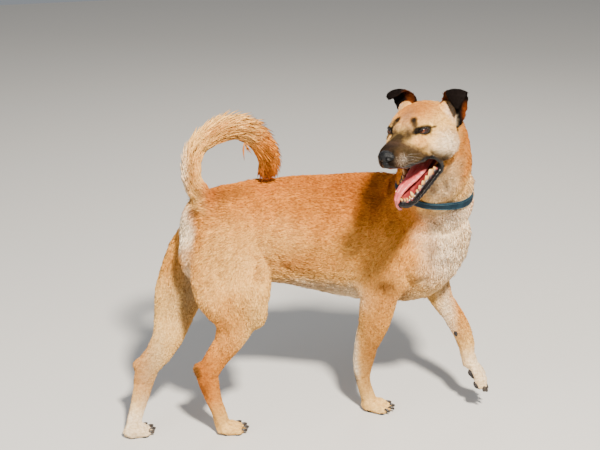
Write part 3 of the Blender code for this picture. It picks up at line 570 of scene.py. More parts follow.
GUIDES = np.vstack([
    # along the face and over the skull
    run(HEAD, [(85, 0, -30, 2, 0.6), (50, 0, -15, 3, 0.8), (10, 0, 0, 5, 1.2),
               (-30, 0, 20, 6, 1.6), (-80, 0, 30, 8, 2), (-130, 0, 10, 11, 3)]),
    run(HEAD, [(80, 20, -50, 2, 0.6), (40, 30, -50, 4, 0.8), (0, 45, -40, 6, 1.4),
               (-50, 65, -30, 8, 2), (-100, 60, -30, 11, 3)]),
    run(HEAD, [(80, -20, -50, 2, 0.6), (40, -30, -50, 4, 0.8), (0, -45, -40, 6, 1.4),
               (-50, -65, -30, 8, 2), (-100, -60, -30, 11, 3)]),
    run(JAW, [(140, 0, 0, 2, 0.6), (90, 0, -10, 3, 0.8), (40, 0, -15, 5, 1), (0, 0, -20, 8, 2)]),
    # down the neck and throat, and back along the trunk
    run(YARD, [(240, -140, 760, 12, 4), (230, -90, 690, 15, 5), (200, -40, 620, 14, 5),
               (120, 10, 600, 12, 3.8), (0, 10, 595, 12, 3.4), (-100, -20, 595, 12, 3.4),
               (-190, -60, 585, 12, 4)]),
    run(YARD, [(360, -140, 720, 13, 4), (360, -110, 640, 17, 6), (360, -70, 560, 18, 7),
               (380, -30, 470, 20, 7), (330, 0, 360, 18, 6)]),
    run(YARD, [(260, -200, 660, 12, 4), (270, -150, 600, 16, 5), (280, -110, 520, 14, 5),
               (240, -100, 430, 13, 3.8), (190, -90, 350, 10, 4)]),
    run(YARD, [(240, 90, 540, 12, 4), (140, 120, 480, 12, 3.4), (0, 100, 460, 12, 3.4),
               (-120, 70, 460, 12, 3.4), (-200, 30, 460, 12, 4)]),
    run(YARD, [(200, -100, 520, 12, 4), (100, -70, 460, 12, 3.4), (0, -70, 460, 12, 3.4),
               (-100, -100, 460, 12, 4), (-180, -130, 420, 12, 4)]),
    run(YARD, [(270, 0, 290, 16, 5), (140, 20, 285, 18, 6), (0, 10, 315, 18, 6),
               (-100, -20, 345, 14, 5)]),
    # the buttocks and the tail
    run(YARD, [(-220, -70, 560, 12, 4), (-260, -100, 500, 17, 5), (-250, -80, 430, 18, 5)]),
    run(YARD, [(-201, -62, 534, 16, 5), (-220, -76, 573, 22, 7), (-235, -86, 611, 26, 9),
               (-237, -89, 650, 28, 9), (-225, -86, 687, 30, 10), (-192, -76, 716, 32, 10),
               (-149, -64, 728, 34, 11), (-110, -50, 713, 34, 11), (-84, -38, 680, 32, 10),
               (-73, -27, 648, 28, 9), (-73, -18, 611, 20, 7)]),
    # down each leg
    run(YARD, [(-165, -99, 400, 13, 4), (-149, -119, 343, 12, 4), (-143, -122, 295, 10, 3),
               (-158, -124, 248, 9, 2.6), (-211, -126, 162, 7, 2), (-201, -122, 92, 6, 1.6),
               (-187, -120, 45, 5, 1.4), (-167, -119, 18, 4, 1), (-140, -110, 10, 3, 0.7)]),
    run(YARD, [(-223, -8, 400, 14, 4), (-281, -25, 316, 12, 3.5), (-309, -58, 221, 9, 2.6),
               (-356, -81, 154, 7, 2), (-377, -100, 76, 6, 1.6), (-388, -120, 40, 5, 1.4),
               (-385, -132, 18, 4, 1), (-355, -117, 10, 3, 0.7)]),
    run(YARD, [(199, -54, 379, 11, 4), (176, -45, 263, 9, 2.6), (157, -30, 184, 8, 2),
               (150, -15, 109, 6, 1.6), (155, -10, 71, 6, 1.4), (170, -9, 30, 4, 1),
               (210, -14, 12, 3, 0.7)]),
    run(YARD, [(300, 62, 372, 11, 4), (342, 46, 270, 9, 2.6), (387, 26, 203, 7, 2),
               (404, 9, 145, 6, 1.6), (420, 0, 115, 5, 1.4), (445, -8, 75, 3, 0.8)]),
    # up each ear
    run(HEAD, [(-82, 48, 18, 6, 0.6), (-88, 62, 35, 4, 0.4), (-86, 72, 62, 4, 0.3),
               (-65, 80, 48, 3, 0.3)]),
    run(HEAD, [(-82, -38, 20, 6, 0.6), (-88, -52, 40, 4, 0.4), (-83, -62, 66, 4, 0.3),
               (-58, -68, 56, 3, 0.3)]),
])
print(len(GUIDES), "guide points")


# %% Blending the guides
def groomed(points):
    """Blend of the guides at each point: lie of the hair, its length, depth of the skin."""
    lie, length, depth = np.zeros_like(points), np.zeros(len(points)), np.zeros(len(points))
    for part in np.array_split(np.arange(len(points)), 12):
        away = np.linalg.norm(points[part, None] - GUIDES[None, :, :3], axis=2)
        share = 1.0 / (away**4 + 1e-8)
        share /= share.sum(axis=1)[:, None]
        lie[part] = share @ GUIDES[:, 3:6]
        length[part] = share @ GUIDES[:, 6]
        depth[part] = share @ GUIDES[:, 7]
    return lie, length, depth


# %% [markdown]
# ## The skin
#
# A living dog has no seams, so copies of the flesh solids are swollen by half a millimetre until
# they overlap. Toes and the thick edges of the lips are added to them, and a voxel remesh wraps
# one surface round it all. It is eased without shrinking, then pulled in by the coat's depth.

# %% Lumps and ropes to add
def bulge(matrix, centre, radii, heading=0.0, tip=0.0):
    """An ellipsoid in a frame: its points and faces."""
    bm = bmesh.new()
    bmesh.ops.create_icosphere(bm, subdivisions=3, radius=1.0)
    points = [v.co[:] for v in bm.verts]
    faces = [[v.index for v in face.verts] for face in bm.faces]
    bm.free()
    stretch = Matrix.Diagonal((*radii, 1.0))
    return moved(points, matrix @ turned(centre, 0.0, tip, heading) @ stretch), faces


def curve_through(rows, steps):
    """A smooth run through rows of numbers, each span cut into `steps`."""
    rows = np.array(rows, float)
    wide = np.vstack([2 * rows[0] - rows[1], rows, 2 * rows[-1] - rows[-2]])
    made = []
    for i in range(1, len(wide) - 2):
        a, b, c, d = wide[i - 1:i + 3]
        for t in np.arange(steps) / steps:
            square, cube = 2 * a - 5 * b + 4 * c - d, 3 * b - a - 3 * c + d
            made.append(0.5 * (2 * b + (c - a) * t + square * t**2 + cube * t**3))
    return np.array([*made, rows[-1]])


def tube_faces(rings, around):
    """Faces between rings of points, and fans to two last points that close the ends."""
    last, faces = rings - 1, []
    for i in range(last):
        for k in range(around):
            m = (k + 1) % around
            faces.append((i * around + k, i * around + m, (i + 1) * around + m, (i + 1) * around + k))
    for k in range(around):
        m = (k + 1) % around
        faces += [(rings * around, m, k), (rings * around + 1, last * around + k, last * around + m)]
    return faces


def rope(rows, around=12, up=(0, 0, 1)):
    """A closed tube along rows of x, y, z, radius."""
    rows = np.asarray(rows, float)
    along = np.gradient(rows[:, :3], axis=0)
    along /= np.linalg.norm(along, axis=1)[:, None] + 1e-12
    side = np.cross(along, up)
    side /= np.linalg.norm(side, axis=1)[:, None] + 1e-12
    top = np.cross(side, along)
    points = []
    for spot, s, t in zip(rows, side, top):
        for k in range(around):
            a = 2 * math.pi * k / around
            points.append(spot[:3] + spot[3] * (s * math.cos(a) + t * math.sin(a)))
    points += [rows[0, :3], rows[-1, :3]]
    return np.array(points), tube_faces(len(rows), around)


def joined(shapes):
    """Several forms as one list of points and one of faces."""
    points, faces = [], []
    for more, more_faces in shapes:
        faces.extend([i + len(points) for i in face] for face in more_faces)
        points.extend(more)
    return points, faces


# %% Paws
PAWS = {
    "hind_right": ((-0.167, -0.119, 0.0130), 20.0, 0.0, 0.98),
    "hind_left": ((-0.385, -0.132, 0.0130), 28.0, 0.0, 0.98),
    "fore_right": ((0.182, -0.011, 0.0140), -8.0, 0.0, 1.04),
    "fore_left": ((0.431, -0.005, 0.098), -12.0, 58.0, 1.10),
}
EYE, EYE_RADIUS = (-0.0032, 0.0363, -0.0012), 0.0112
# Each toe: its place across the paw in toe widths, and how far forward it reaches.
TOE_FAN = ((-1.5, 0.027), (-0.5, 0.036), (0.5, 0.036), (1.5, 0.027))
TOE_SPACING, TOE_SPREAD = 0.0128, 7.0


def paw_frame(spec):
    place, heading, pitch, size = spec
    return YARD @ turned(place, 0.0, pitch, heading, size)


def toes(matrix):
    """A knuckle and a toe end for each of the four toes."""
    made = []
    for fan, forward in TOE_FAN:
        y, slant = fan * TOE_SPACING, fan * TOE_SPREAD
        knuckle = (forward - 0.017, y * 0.96, -0.001)
        made.append(bulge(matrix, knuckle, (0.0150, 0.0072, 0.0122), slant, 20.0))
        made.append(bulge(matrix, (forward - 0.006, y, -0.004), (0.0095, 0.0068, 0.0098), slant))
    return made


# %% Lips
# The edge of the lips on the left, from under the nose to the corner: x, y, z, radius in
# millimetres in the head's frame, then on to the chin in the jaw's frame.
UPPER_LIP = ((88, 8, -62.5, 2.2), (62, 22.5, -65.5, 2.6), (32, 30.5, -64.5, 3),
             (8, 39, -58.5, 3.6), (-18, 46, -60, 5.6), (-38, 47.5, -70, 7.4),
             (-52, 43, -82, 7.8))
LOWER_LIP = ((48, 37, 1.5, 7.4), (64, 35.5, 3, 7.2), (88, 31.8, 3.5, 6.4),
             (112, 27.2, 4, 5.6), (132, 21.6, 4.5, 4.6), (144, 13.2, 5, 3.6),
             (147, 0, 5, 3.3))


def lip_line(side):
    """The lip's edge in the model: x, y, z, radius, with small bumps along the lower lip."""
    flip = np.array((1, side, 1, 1))
    upper, lower = mm(UPPER_LIP) * flip, mm(LOWER_LIP) * flip
    upper[:, :3], lower[:, :3] = moved(upper[:, :3], HEAD), moved(lower[:, :3], JAW)
    line = curve_through(np.vstack([upper, lower]), 10)
    bumps = np.sin(np.arange(len(line)) * 1.3) * 0.0014
    line[:, 3] += np.where(np.arange(len(line)) > 64, bumps, 0.0)
    return line


LIPS = np.vstack([lip_line(1), lip_line(-1)])
print("lips:", len(LIPS), "points")

# %% One skin over the flesh
FLESH = ("trunk", "neck", "head", "tail", "leg_hind_right", "leg_hind_left", "leg_fore_right",
         "leg_fore_left", "jaw_lower", "ear_left", "ear_right")
SWELL = 0.0006
SKIN_VOXEL = 0.0022
SOCKET_WALL = 0.0030
# The muscle over the knee: centre, radii in millimetres and heading; then the zone smoothed round it.
STIFLE = (((-100, -120, 322), (31, 32, 56), 33.0), ((-86, -102, 382), (25, 30, 62), 20.0))
STIFLE_ZONE, STIFLE_ROUNDS = ((-98, -120, 330), (82, 78, 130)), 80


def flesh_shell():
    """All flesh solids, slightly swollen, with lips, eye sockets, stifle and toes added."""
    shapes = []
    for name in FLESH:
        bm = bmesh.new()
        bm.from_mesh(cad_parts[name].data)
        bmesh.ops.remove_doubles(bm, verts=bm.verts, dist=1e-5)
        bm.normal_update()
        swollen = [vertex.co + vertex.normal * SWELL for vertex in bm.verts]
        shapes.append((swollen, [[v.index for v in face.verts] for face in bm.faces]))
        bm.free()
    shapes += [rope(lip_line(side)) for side in (1, -1)]
    for side in (1, -1):
        shapes.append(bulge(HEAD, (EYE[0], EYE[1] * side, EYE[2]), (EYE_RADIUS + SOCKET_WALL,) * 3))
    for centre, radii, heading in STIFLE:
        shapes.append(bulge(YARD, mm(centre), mm(radii), heading))
    for spec in PAWS.values():
        shapes += toes(paw_frame(spec))
    return make("skin", *joined(shapes))


skin = keep_largest(remeshed(flesh_shell(), SKIN_VOXEL))
pairs = edges_of(skin.data)
rest = eased(points_of(skin.data), pairs, 6)
by_stifle = near(back(rest, YARD), *mm(STIFLE_ZONE))
rest += (spread(rest, pairs, STIFLE_ROUNDS) - rest) * np.clip(by_stifle * 3.0, 0, 1)[:, None]
depth = spread(groomed(rest)[2], pairs, 10)
set_points(skin.data, rest)
out = normals_of(skin.data)
rest = rest - out * (depth + SWELL)[:, None]
set_points(skin.data, rest)
print("skin:", len(rest), "points")

# %% [markdown]
# The body is broad and smooth and the face is small and fine. So the skin is thinned where it is
# broad, and cut finer on the face, most of all round the eyes.

# %% Thin the body, cut the face finer
SKIN_SHARE = 0.165


def thinned(obj, keep):
    """Decimates `obj`, least where `keep` is one."""
    group = obj.vertex_groups.new(name="smooth")
    for index, value in enumerate(1.0 - keep):
        if value > 0.02:
            group.add((index,), float(value), "REPLACE")
    modifier = obj.modifiers.new("thin", "DECIMATE")
    modifier.ratio = SKIN_SHARE
    modifier.vertex_group = "smooth"
    modifier.vertex_group_factor = 1.0
    modifier.use_collapse_triangulate = True
    settled(obj)
    obj.vertex_groups.clear()
    return obj


def cut_finer(obj, chosen):
    """Cuts each edge between chosen points in two."""
    bm = bmesh.new()
    bm.from_mesh(obj.data)
    bm.verts.ensure_lookup_table()
    edges = [e for e in bm.edges if chosen[e.verts[0].index] and chosen[e.verts[1].index]]
    bmesh.ops.subdivide_edges(bm, edges=edges, cuts=1, use_grid_fill=True)
    bmesh.ops.triangulate(bm, faces=[face for face in bm.faces if len(face.verts) > 3])
    bm.to_mesh(obj.data)
    bm.free()


def eased_where(obj, mask, rounds):
    """Smooths without shrinking where `mask` is one."""
    old = points_of(obj.data)
    new = eased(old, edges_of(obj.data), rounds)
    set_points(obj.data, old + (new - old) * mask[:, None])


FACE = ((0.015, 0.0, -0.03), (0.115, 0.085, 0.09))
CHIN = ((0.09, 0.0, 0.0), (0.08, 0.05, 0.03))
in_head = back(rest, HEAD)
face_keep = np.clip(4.0 * np.maximum(near(in_head, *FACE), near(back(rest, JAW), *CHIN)), 0, 1)
ear_keep = np.clip((in_head[:, 2] - 0.035) / 0.01, 0, 1) * (np.abs(in_head[:, 0] + 0.07) < 0.04)
foot_keep = np.zeros(len(rest))
for spec in PAWS.values():
    by_foot = near(back(rest, paw_frame(spec)), (0.01, 0, 0), (0.06, 0.05, 0.04)) > 0
    foot_keep = np.maximum(foot_keep, by_foot)
thinned(skin, np.maximum.reduce([face_keep, ear_keep * 0.85, foot_keep * 0.9]))
in_head, in_jaw = back(points_of(skin.data), HEAD), back(points_of(skin.data), JAW)
fine = np.maximum(near(in_head, *FACE), near(in_jaw, (0.10, 0.0, 0.0), (0.06, 0.045, 0.02)) * 0.9)
cut_finer(skin, fine > 0.30)
eased_where(skin, np.clip(near(back(points_of(skin.data), HEAD), *FACE) * 5.0, 0, 1), 8)
in_head = back(points_of(skin.data), HEAD)
by_eye = np.zeros(len(in_head))
for side in (1, -1):
    by_eye = np.maximum(by_eye, near(in_head, (0.006, 0.042 * side, 0.0), (0.022, 0.016, 0.014)))
cut_finer(skin, by_eye > 0)
print("skin:", len(skin.data.vertices), "points,", len(skin.data.polygons), "faces")

# %% [markdown]
# ## Sculpting
#
# Soft dabs raise the brow, the cheek bone and the whisker pads, and hollow the temple and the stop.
# Creases are drawn along lines: the folds beside the nose, behind the mouth and between toes.

# %% Dabs and creases
# A dab: centre, radii and rise in millimetres in the head's frame, made on both sides.
DABS = (
    ((4, 30, 18), (22, 13, 10), 3.8), ((22, 0, 10), (22, 11, 14), -3.6),
    ((-20, 0, 36), (40, 6, 18), -3), ((24, 25, -6), (14, 10, 12), -3.2),
    ((6, 47, -19), (18, 10, 8), -1.8), ((-20, 56, -20), (30, 14, 12), 3),
    ((-36, 46, 14), (24, 16, 14), -3), ((42, 31, -38), (20, 12, 14), -2.6),
    ((70, 23, -52), (18, 12, 13), 1.8), ((10, 43, -50), (22, 10, 7), 1.2),
    ((100, 0, -60), (12, 3, 12), -1.4), ((-12, 30, 40), (26, 14, 12), 1.2),
    ((-72, 62, -36), (50, 34, 52), 8.5), ((-62, 56, 6), (36, 26, 30), 5),
)
# A crease: width, depth and points, in the same frame.
CREASES = (
    (3, 1.7, ((17, 27, 4), (23, 31, -10), (24, 37, -22), (16, 43, -34))),
    (2.8, 1.8, ((64, 27, -58), (34, 36, -53), (6, 44, -48), (-18, 55, -48))),
    (2, 0.9, ((-10, 48, 3), (-20, 51, 5), (-30, 53, 6))),
    (2.2, 0.8, ((10, 28, 12), (-2, 40, 11), (-14, 49, 8))),
    (4.5, 3.6, ((-52, 62, -54), (-72, 58, -68), (-86, 50, -84))),
    (3, 1.8, ((-20, 4, 40), (2, 5, 30), (16, 5, 18))),
    (2.8, 1.4, ((-34, 18, 45), (-10, 14, 38), (10, 11, 26))),
    (2.8, 1.4, ((-26, 30, 40), (-6, 24, 33), (8, 17, 24))),
)


# The same on the body, in the yard frame: the point of the elbow, the upper arm and the ribs, then
# the grooves of thigh, flank, shoulder blade, throat and hock.
BODY_DABS = (
    ((159, -79, 398), (20, 24, 24), 3.4), ((196, -91, 355), (19, 22, 15), -9.5),
    ((215, -93, 409), (30, 26, 34), 4.2), ((185, -80, 310), (24, 24, 34), 2.6),
    ((60, -70, 470), (70, 40, 60), 3), ((330, -78, 470), (22, 26, 45), 4),
    ((300, -80, 395), (26, 26, 20), 3.6), ((262, -90, 400), (14, 24, 30), -1.4),
    ((-140, -155, 330), (22, 26, 50), 3.2), ((-190, -155, 330), (18, 26, 60), 2.6),
    ((60, 110, 470), (70, 40, 60), 3), ((240, 120, 420), (32, 26, 36), 3.6),
)
BODY_CREASES = (
    (11, 3.6, ((-172, -160, 430), (-160, -164, 362), (-150, -158, 318))),
    (13, 3.4, ((-90, -98, 460), (-70, -80, 410), (-30, -56, 388), (20, -45, 360))),
    (13, 3.4, ((120, -44, 560), (131, -75, 445), (140, -80, 395))),
    (13, 3, ((120, 70, 560), (150, 115, 450), (170, 115, 390))),
    (7, 5.5, ((272, -160, 640), (284, -156, 617), (303, -144, 594), (318, -136, 580))),
    (6, 4.8, ((300, -165, 650), (312, -155, 620), (330, -140, 598))),
    (8, 3.4, ((296, -88, 520), (316, -86, 480), (312, -82, 436))),
    (6, 3.2, ((-180, -146, 225), (-205, -146, 180), (-220, -146, 150))),
    (6, 3, ((-330, -85, 215), (-362, -105, 165), (-372, -112, 130))),
    (4, 2, ((150, -40, 150), (146, -32, 115), (148, -30, 80))),
)


# %% Sculpt the skin
TOE_GROOVE = (3.0, 4.2)  # width and depth in millimetres


def smooth(share, height=1.0):
    """Turns a straight slope from nought to one into a soft rise."""
    return height * share * share * (3 - 2 * share)


def off_line(points, line):
    """How far each point lies from a bent line."""
    line = np.array(line, float)
    least = np.full(len(points), 1e9)
    for a, b in zip(line[:-1], line[1:]):
        t = np.clip((points - a) @ (b - a) / ((b - a) @ (b - a)), 0, 1)
        least = np.minimum(least, np.linalg.norm(points - a - t[:, None] * (b - a), axis=1))
    return least


def grooved(points, line, wide, deep=1.0):
    """The depth of a groove with soft sides along a bent line."""
    return deep * np.exp(-((off_line(points, line) / wide) ** 2))


def sculpted(obj):
    rest, out = points_of(obj.data), normals_of(obj.data)
    rise = np.zeros(len(rest))
    by_head = np.flatnonzero(np.linalg.norm(back(rest, HEAD), axis=1) < 0.17)
    in_head = back(rest[by_head], HEAD)
    for side in (1, -1):
        flip = np.array((1, side, 1))
        for centre, radii, height in DABS:
            share = near(in_head, mm(centre) * flip, mm(radii))
            rise[by_head] += smooth(share, mm(height)) * (1.0 if centre[1] else 0.5)
        for wide, deep, line in CREASES:
            rise[by_head] -= grooved(in_head, mm(line) * flip, mm(wide), mm(deep))
    in_yard = back(rest, YARD)
    for centre, radii, height in BODY_DABS:
        rise += smooth(near(in_yard, mm(centre), mm(radii)), mm(height))
    for wide, deep, line in BODY_CREASES:
        rise -= grooved(in_yard, mm(line), mm(wide), mm(deep))
    for spec in PAWS.values():
        in_paw = back(rest, paw_frame(spec))
        by_paw = np.flatnonzero(near(in_paw, (0.02, 0, 0), (0.05, 0.05, 0.04)) > 0)
        for gap in (-1, 0, 1):
            y = gap * TOE_SPACING
            line = ((0.002, y * 0.85, 0.014), (0.018, y, 0.009), (0.030, y, 0.002), (0.036, y, -0.008))
            rise[by_paw] -= grooved(in_paw[by_paw], line, *mm(TOE_GROOVE))
    set_points(obj.data, rest + out * rise[:, None])
    print("sculpted from", round(rise.min() * 1000, 1), "to", round(rise.max() * 1000, 1), "mm")


sculpted(skin)

# %% [markdown]
# ## Lids
#
# Round each eye the skin is drawn onto a ball a little larger than the eye's own. Points inside an
# almond outline sink behind the eye, and points near the outline slide onto it, so that the lids
# end in a clean edge.

# %% The opening of the lids
LID_THICK, LID_EDGE = 0.0013, 0.00042
LID_REACH, LID_BLEND = 0.0175, 0.0065
OPEN_IN, OPEN_OUT, OPEN_UP, OPEN_DOWN = (0.0116, -0.0026), (-0.0098, 0.0004), 0.0054, 0.0050


def lid_axes(side):
    """Rows: towards the nose, up and out of the opening, in the model's frame."""
    out = np.array(HEAD.to_3x3() @ Vector((0.76, 0.64 * side, 0.12)).normalized())
    up = np.array(HEAD.to_3x3() @ Vector((0, 0, 1)))
    up -= out * (up @ out)
    up /= np.linalg.norm(up)
    to_nose = np.cross(up, out) * side
    to_nose *= np.sign(to_nose @ np.array(HEAD.to_3x3() @ Vector((1, 0, 0))))
    return np.array([to_nose, up, out])


def eye_centre(side):
    return moved([(EYE[0], EYE[1] * side, EYE[2])], HEAD)[0]


def lid_edges(x):
    """Heights of the upper and the lower lid's edge across the opening."""
    t = np.clip((x - OPEN_OUT[0]) / (OPEN_IN[0] - OPEN_OUT[0]), 0, 1)
    level = OPEN_OUT[1] + t * (OPEN_IN[1] - OPEN_OUT[1])
    arch = np.sin(math.pi * t**0.9)
    return level + OPEN_UP * arch**0.8, level - OPEN_DOWN * np.sin(math.pi * t) ** 0.8


# %% Draw the lids
def height_on_ball(radius, off, limit):
    """The height of a ball at a distance off its axis, level beyond a limit."""
    return np.sqrt(np.maximum(radius**2 - off**2, radius**2 - limit**2))


def with_lids(obj):
    rest = points_of(obj.data)
    for side in (1, -1):
        axes, centre = lid_axes(side), eye_centre(side)
        own = (rest - centre) @ axes.T
        reach = np.linalg.norm(own[:, :2], axis=1)
        chosen = np.flatnonzero((reach < 0.019) & (own[:, 2] > -0.004))
        x, y, z = own[chosen].T
        r = reach[chosen]
        share = smooth(np.clip((LID_REACH - r) / LID_BLEND, 0, 1))
        lid = height_on_ball(EYE_RADIUS + LID_THICK, r, 0.0110)
        fold = 0.0007 * np.exp(-(((y - lid_edges(x)[0] - 0.0024) / 0.0011) ** 2))
        z = z + (lid - fold - z) * share
        upper, lower = lid_edges(x)
        inside = np.minimum(upper - y, y - lower)
        spanned = (x > OPEN_OUT[0]) & (x < OPEN_IN[0])
        edge = spanned & (np.abs(inside) < LID_EDGE)
        y = np.where(edge, np.where(upper - y < y - lower, upper, lower), y)
        sunk = np.sqrt(np.maximum(EYE_RADIUS**2 - r**2, 0.0)) - 0.0022
        z = np.where(spanned & (inside >= LID_EDGE), np.minimum(z, sunk), z)
        rest[chosen] = centre + np.stack([x, y, z], axis=1) @ axes
    set_points(obj.data, rest)


with_lids(skin)
rest = points_of(skin.data)
lie, length, _ = groomed(rest)
print("hair from", round(length.min() * 1000, 1), "to", round(length.max() * 1000, 1), "mm")

# %% [markdown]
# ## The lie of the coat as attributes
#
# The tufts are placed by Geometry Nodes, which read what they need from the skin: which way the
# hair lies, how long it is, where it grows, and an unwrapped place for each root. The shaders
# read three more: how far a point is ear flap, lip, or the inside of the mouth.

# %% Values on the skin
def store(mesh, name, kind, values):
    layer = mesh.attributes.new(name, kind, "POINT")
    field = "vector" if kind == "FLOAT_VECTOR" else "value"
    layer.data.foreach_set(field, np.asarray(values, np.float32).ravel())


def unwrapped(obj):
    bpy.ops.object.select_all(action="DESELECT")
    obj.select_set(True)
    bpy.context.view_layer.objects.active = obj
    bpy.ops.object.mode_set(mode="EDIT")
    bpy.ops.mesh.select_all(action="SELECT")
    bpy.ops.uv.smart_project(angle_limit=math.radians(75.0), island_margin=0.001)
    bpy.ops.object.mode_set(mode="OBJECT")
    obj.data.uv_layers.active.name = "SkinMap"


def away_from(points, names):
    """Distance from each point to the nearest of some solids."""
    least = np.full(len(points), 1e9)
    for name in names:
        tree = tree_of(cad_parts[name].data)
        low, high = np.array(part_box(name)[0]), np.array(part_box(name)[1])
        near_box = (points > low - 0.02).all(axis=1) & (points < high + 0.02).all(axis=1)
        for i in np.flatnonzero(near_box):
            least[i] = min(least[i], tree.find_nearest(Vector(points[i]))[3])
    return least


# %% Where skin is ear, lip or mouth
no = normals_of(skin.data)
pairs = edges_of(skin.data)
in_head, in_jaw, in_yard = back(rest, HEAD), back(rest, JAW), back(rest, YARD)
ear_away = away_from(rest, ("ear_left", "ear_right"))
ear = np.clip(1.4 - ear_away / 0.0025, 0, 1)
lip_away = np.full(len(rest), 1.0)
by_mouth = np.flatnonzero(np.linalg.norm(in_head - (0.0, 0.0, -0.08), axis=1) < 0.13)
for start in (0, len(LIPS) // 2):
    line = LIPS[start:start + len(LIPS) // 2, :3]
    lip_away[by_mouth] = np.minimum(lip_away[by_mouth], off_line(rest[by_mouth], line[::3]))
lower_share = np.clip((in_jaw[:, 0] - 0.01) / 0.03, 0, 1) * (in_head[:, 2] < -0.075)
lip = 1.0 - np.clip((lip_away - 0.0042 - 0.0082 * lower_share) / 0.0022, 0, 1)
no_head = no @ np.array(HEAD.to_3x3().normalized())
# Half the width of the mouth's floor and roof, in millimetres, at places along the jaw and the head.
FLOOR_HALF = ((0, 60, 90, 112, 132, 146), (29, 25, 21, 16, 11, 4))
ROOF_HALF = ((-50, -10, 34, 72, 85), (30, 27, 22, 16, 6))
x, y, z = in_jaw.T
floor_of_mouth = (np.abs(y) < np.interp(x, *mm(FLOOR_HALF))) & (z > 0.001)
floor_of_mouth &= (x > -0.01) & (x < 0.148) & (in_head[:, 2] < -0.064)
x, y, z = in_head.T
roof = (no_head[:, 2] < 0.1) & (z < -0.052) & (np.abs(y) < np.interp(x, *mm(ROOF_HALF)))
roof &= (x > -0.05) & (x < 0.066)
mouth = (floor_of_mouth | roof) & (lip < 0.5)
mouth = spread(mouth.astype(float), pairs, 3)
for label, values in (("ear", ear), ("lip", lip), ("mouth", mouth)):
    print(label, "on", int((values > 0.5).sum()), "points")

# %% Bare places
CLAW_LENGTH, CLAW_RADIUS, CLAW_ROOT = 0.0130, 0.0033, 0.0040
bare = np.clip(lip * 1.5, 0, 1)
bare = np.maximum(bare, mouth > 0.25)
for side in (1, -1):
    own = (rest - eye_centre(side)) @ lid_axes(side).T
    upper, lower = lid_edges(own[:, 0])
    open_eye = (own[:, 0] > OPEN_OUT[0] - 0.002) & (own[:, 0] < OPEN_IN[0] + 0.003)
    open_eye &= own[:, 1] < upper + 0.0012
    bare = np.maximum(bare, open_eye & (own[:, 1] > lower - 0.0012) & (own[:, 2] > 0.0))
bare = np.maximum(bare, near(in_head, (0.092, 0, -0.043), (0.017, 0.021, 0.020)) > 0)
for spec in PAWS.values():
    in_paw = back(rest, paw_frame(spec))
    for fan, forward in TOE_FAN:
        slant = math.radians(fan * TOE_SPREAD)
        root = np.array((forward - 0.001, fan * TOE_SPACING * 1.04, 0.0))
        tip = root + CLAW_LENGTH * np.array((math.cos(slant), math.sin(slant), -0.35))
        bare = np.maximum(bare, off_line(in_paw, (root, tip)) < 0.0034)
bare = np.maximum(bare, rest[:, 2] < 0.003)


# %% Room for the collar
# No hair grows under the band, and it is shorter just above it.
COLLAR_CENTRE, COLLAR_AXIS, COLLAR_WIDTH = (0.287, -0.084, 0.585), (0.22, -0.40, 0.89), 0.021
collar_axis = np.array(YARD.to_3x3() @ Vector(COLLAR_AXIS).normalized())
collar_centre = moved([COLLAR_CENTRE], YARD)[0]
above = (rest - collar_centre) @ collar_axis
by_collar = np.linalg.norm(rest - collar_centre - above[:, None] * collar_axis, axis=1) < 0.13
bare = np.maximum(bare, by_collar & (np.abs(above) < COLLAR_WIDTH * 0.5 + 0.001))
over_band = by_collar * np.clip((above - 0.008) / 0.022, 0, 1)
over_band += 1.0 - by_collar * (above > 0) * (above < 0.030)
length = length * np.clip(0.40 + 0.60 * over_band, 0.40, 1.0)
bare = spread(bare.astype(float), pairs, 1)
print("bare:", int((bare > 0.5).sum()), "of", len(bare), "points")

# %% Unwrap and attributes
unwrapped(skin)
lie -= (lie * no).sum(axis=1)[:, None] * no
lie = spread(lie, pairs, 12)
lie /= np.linalg.norm(lie, axis=1)[:, None] + 1e-9
store(skin.data, "lie", "FLOAT_VECTOR", lie)
store(skin.data, "hair", "FLOAT", spread(length, pairs, 6))
store(skin.data, "cover", "FLOAT", np.clip(1.0 - 1.6 * bare, 0, 1))
store(skin.data, "ear", "FLOAT", spread(ear, pairs, 2))
store(skin.data, "lip", "FLOAT", lip)
store(skin.data, "mouth", "FLOAT", mouth)
print("attributes:", [layer.name for layer in skin.data.attributes if layer.domain == "POINT"])

# %% [markdown]
# ## Tufts
#
# One tuft is a thin lock that tapers to both ends, flat, with its root under the skin. Short fur
# has one bend; the longer hair of the tail has two. Geometry Nodes scatter the locks
# over a part of the skin, turn them along the lie of the coat, size them and make them real.

# %% Locks of hair
def lock_shape(name, rows, tip):
    """A lock one unit long, through three-sided rows of x, z, width, thickness."""
    points = [(0.0, 0.0, -0.10)]
    for x, z, wide, thick in rows:
        for angle in (90.0, 210.0, 330.0):
            a = math.radians(angle)
            points.append((x, 0.5 * wide * math.cos(a), z + thick * math.sin(a)))
    points.append(tip)
    faces = [(0, 1 + (k + 1) % 3, 1 + k) for k in range(3)]
    for row in range(len(rows) - 1):
        for k in range(3):
            m = (k + 1) % 3
            a, b = 1 + row * 3, 4 + row * 3
            faces += [(a + k, a + m, b + m), (a + k, b + m, b + k)]
    last = 1 + 3 * (len(rows) - 1)
    faces += [(last + k, last + (k + 1) % 3, len(points) - 1) for k in range(3)]
    lock = faced_out(make(name, points, faces))
    layer = lock.data.attributes.new("along", "FLOAT", "POINT")
    layer.data.foreach_set("value", [p[0] for p in points])
    return lock


def lock_family(name, kinds):
    family = bpy.data.collections.new(name)
    for number, (rows, tip) in enumerate(kinds):
        lock = lock_shape(f"{name}_{number}", rows, tip)
        bpy.context.scene.collection.objects.unlink(lock)
        family.objects.link(lock)
    return family, len(lock.data.vertices)


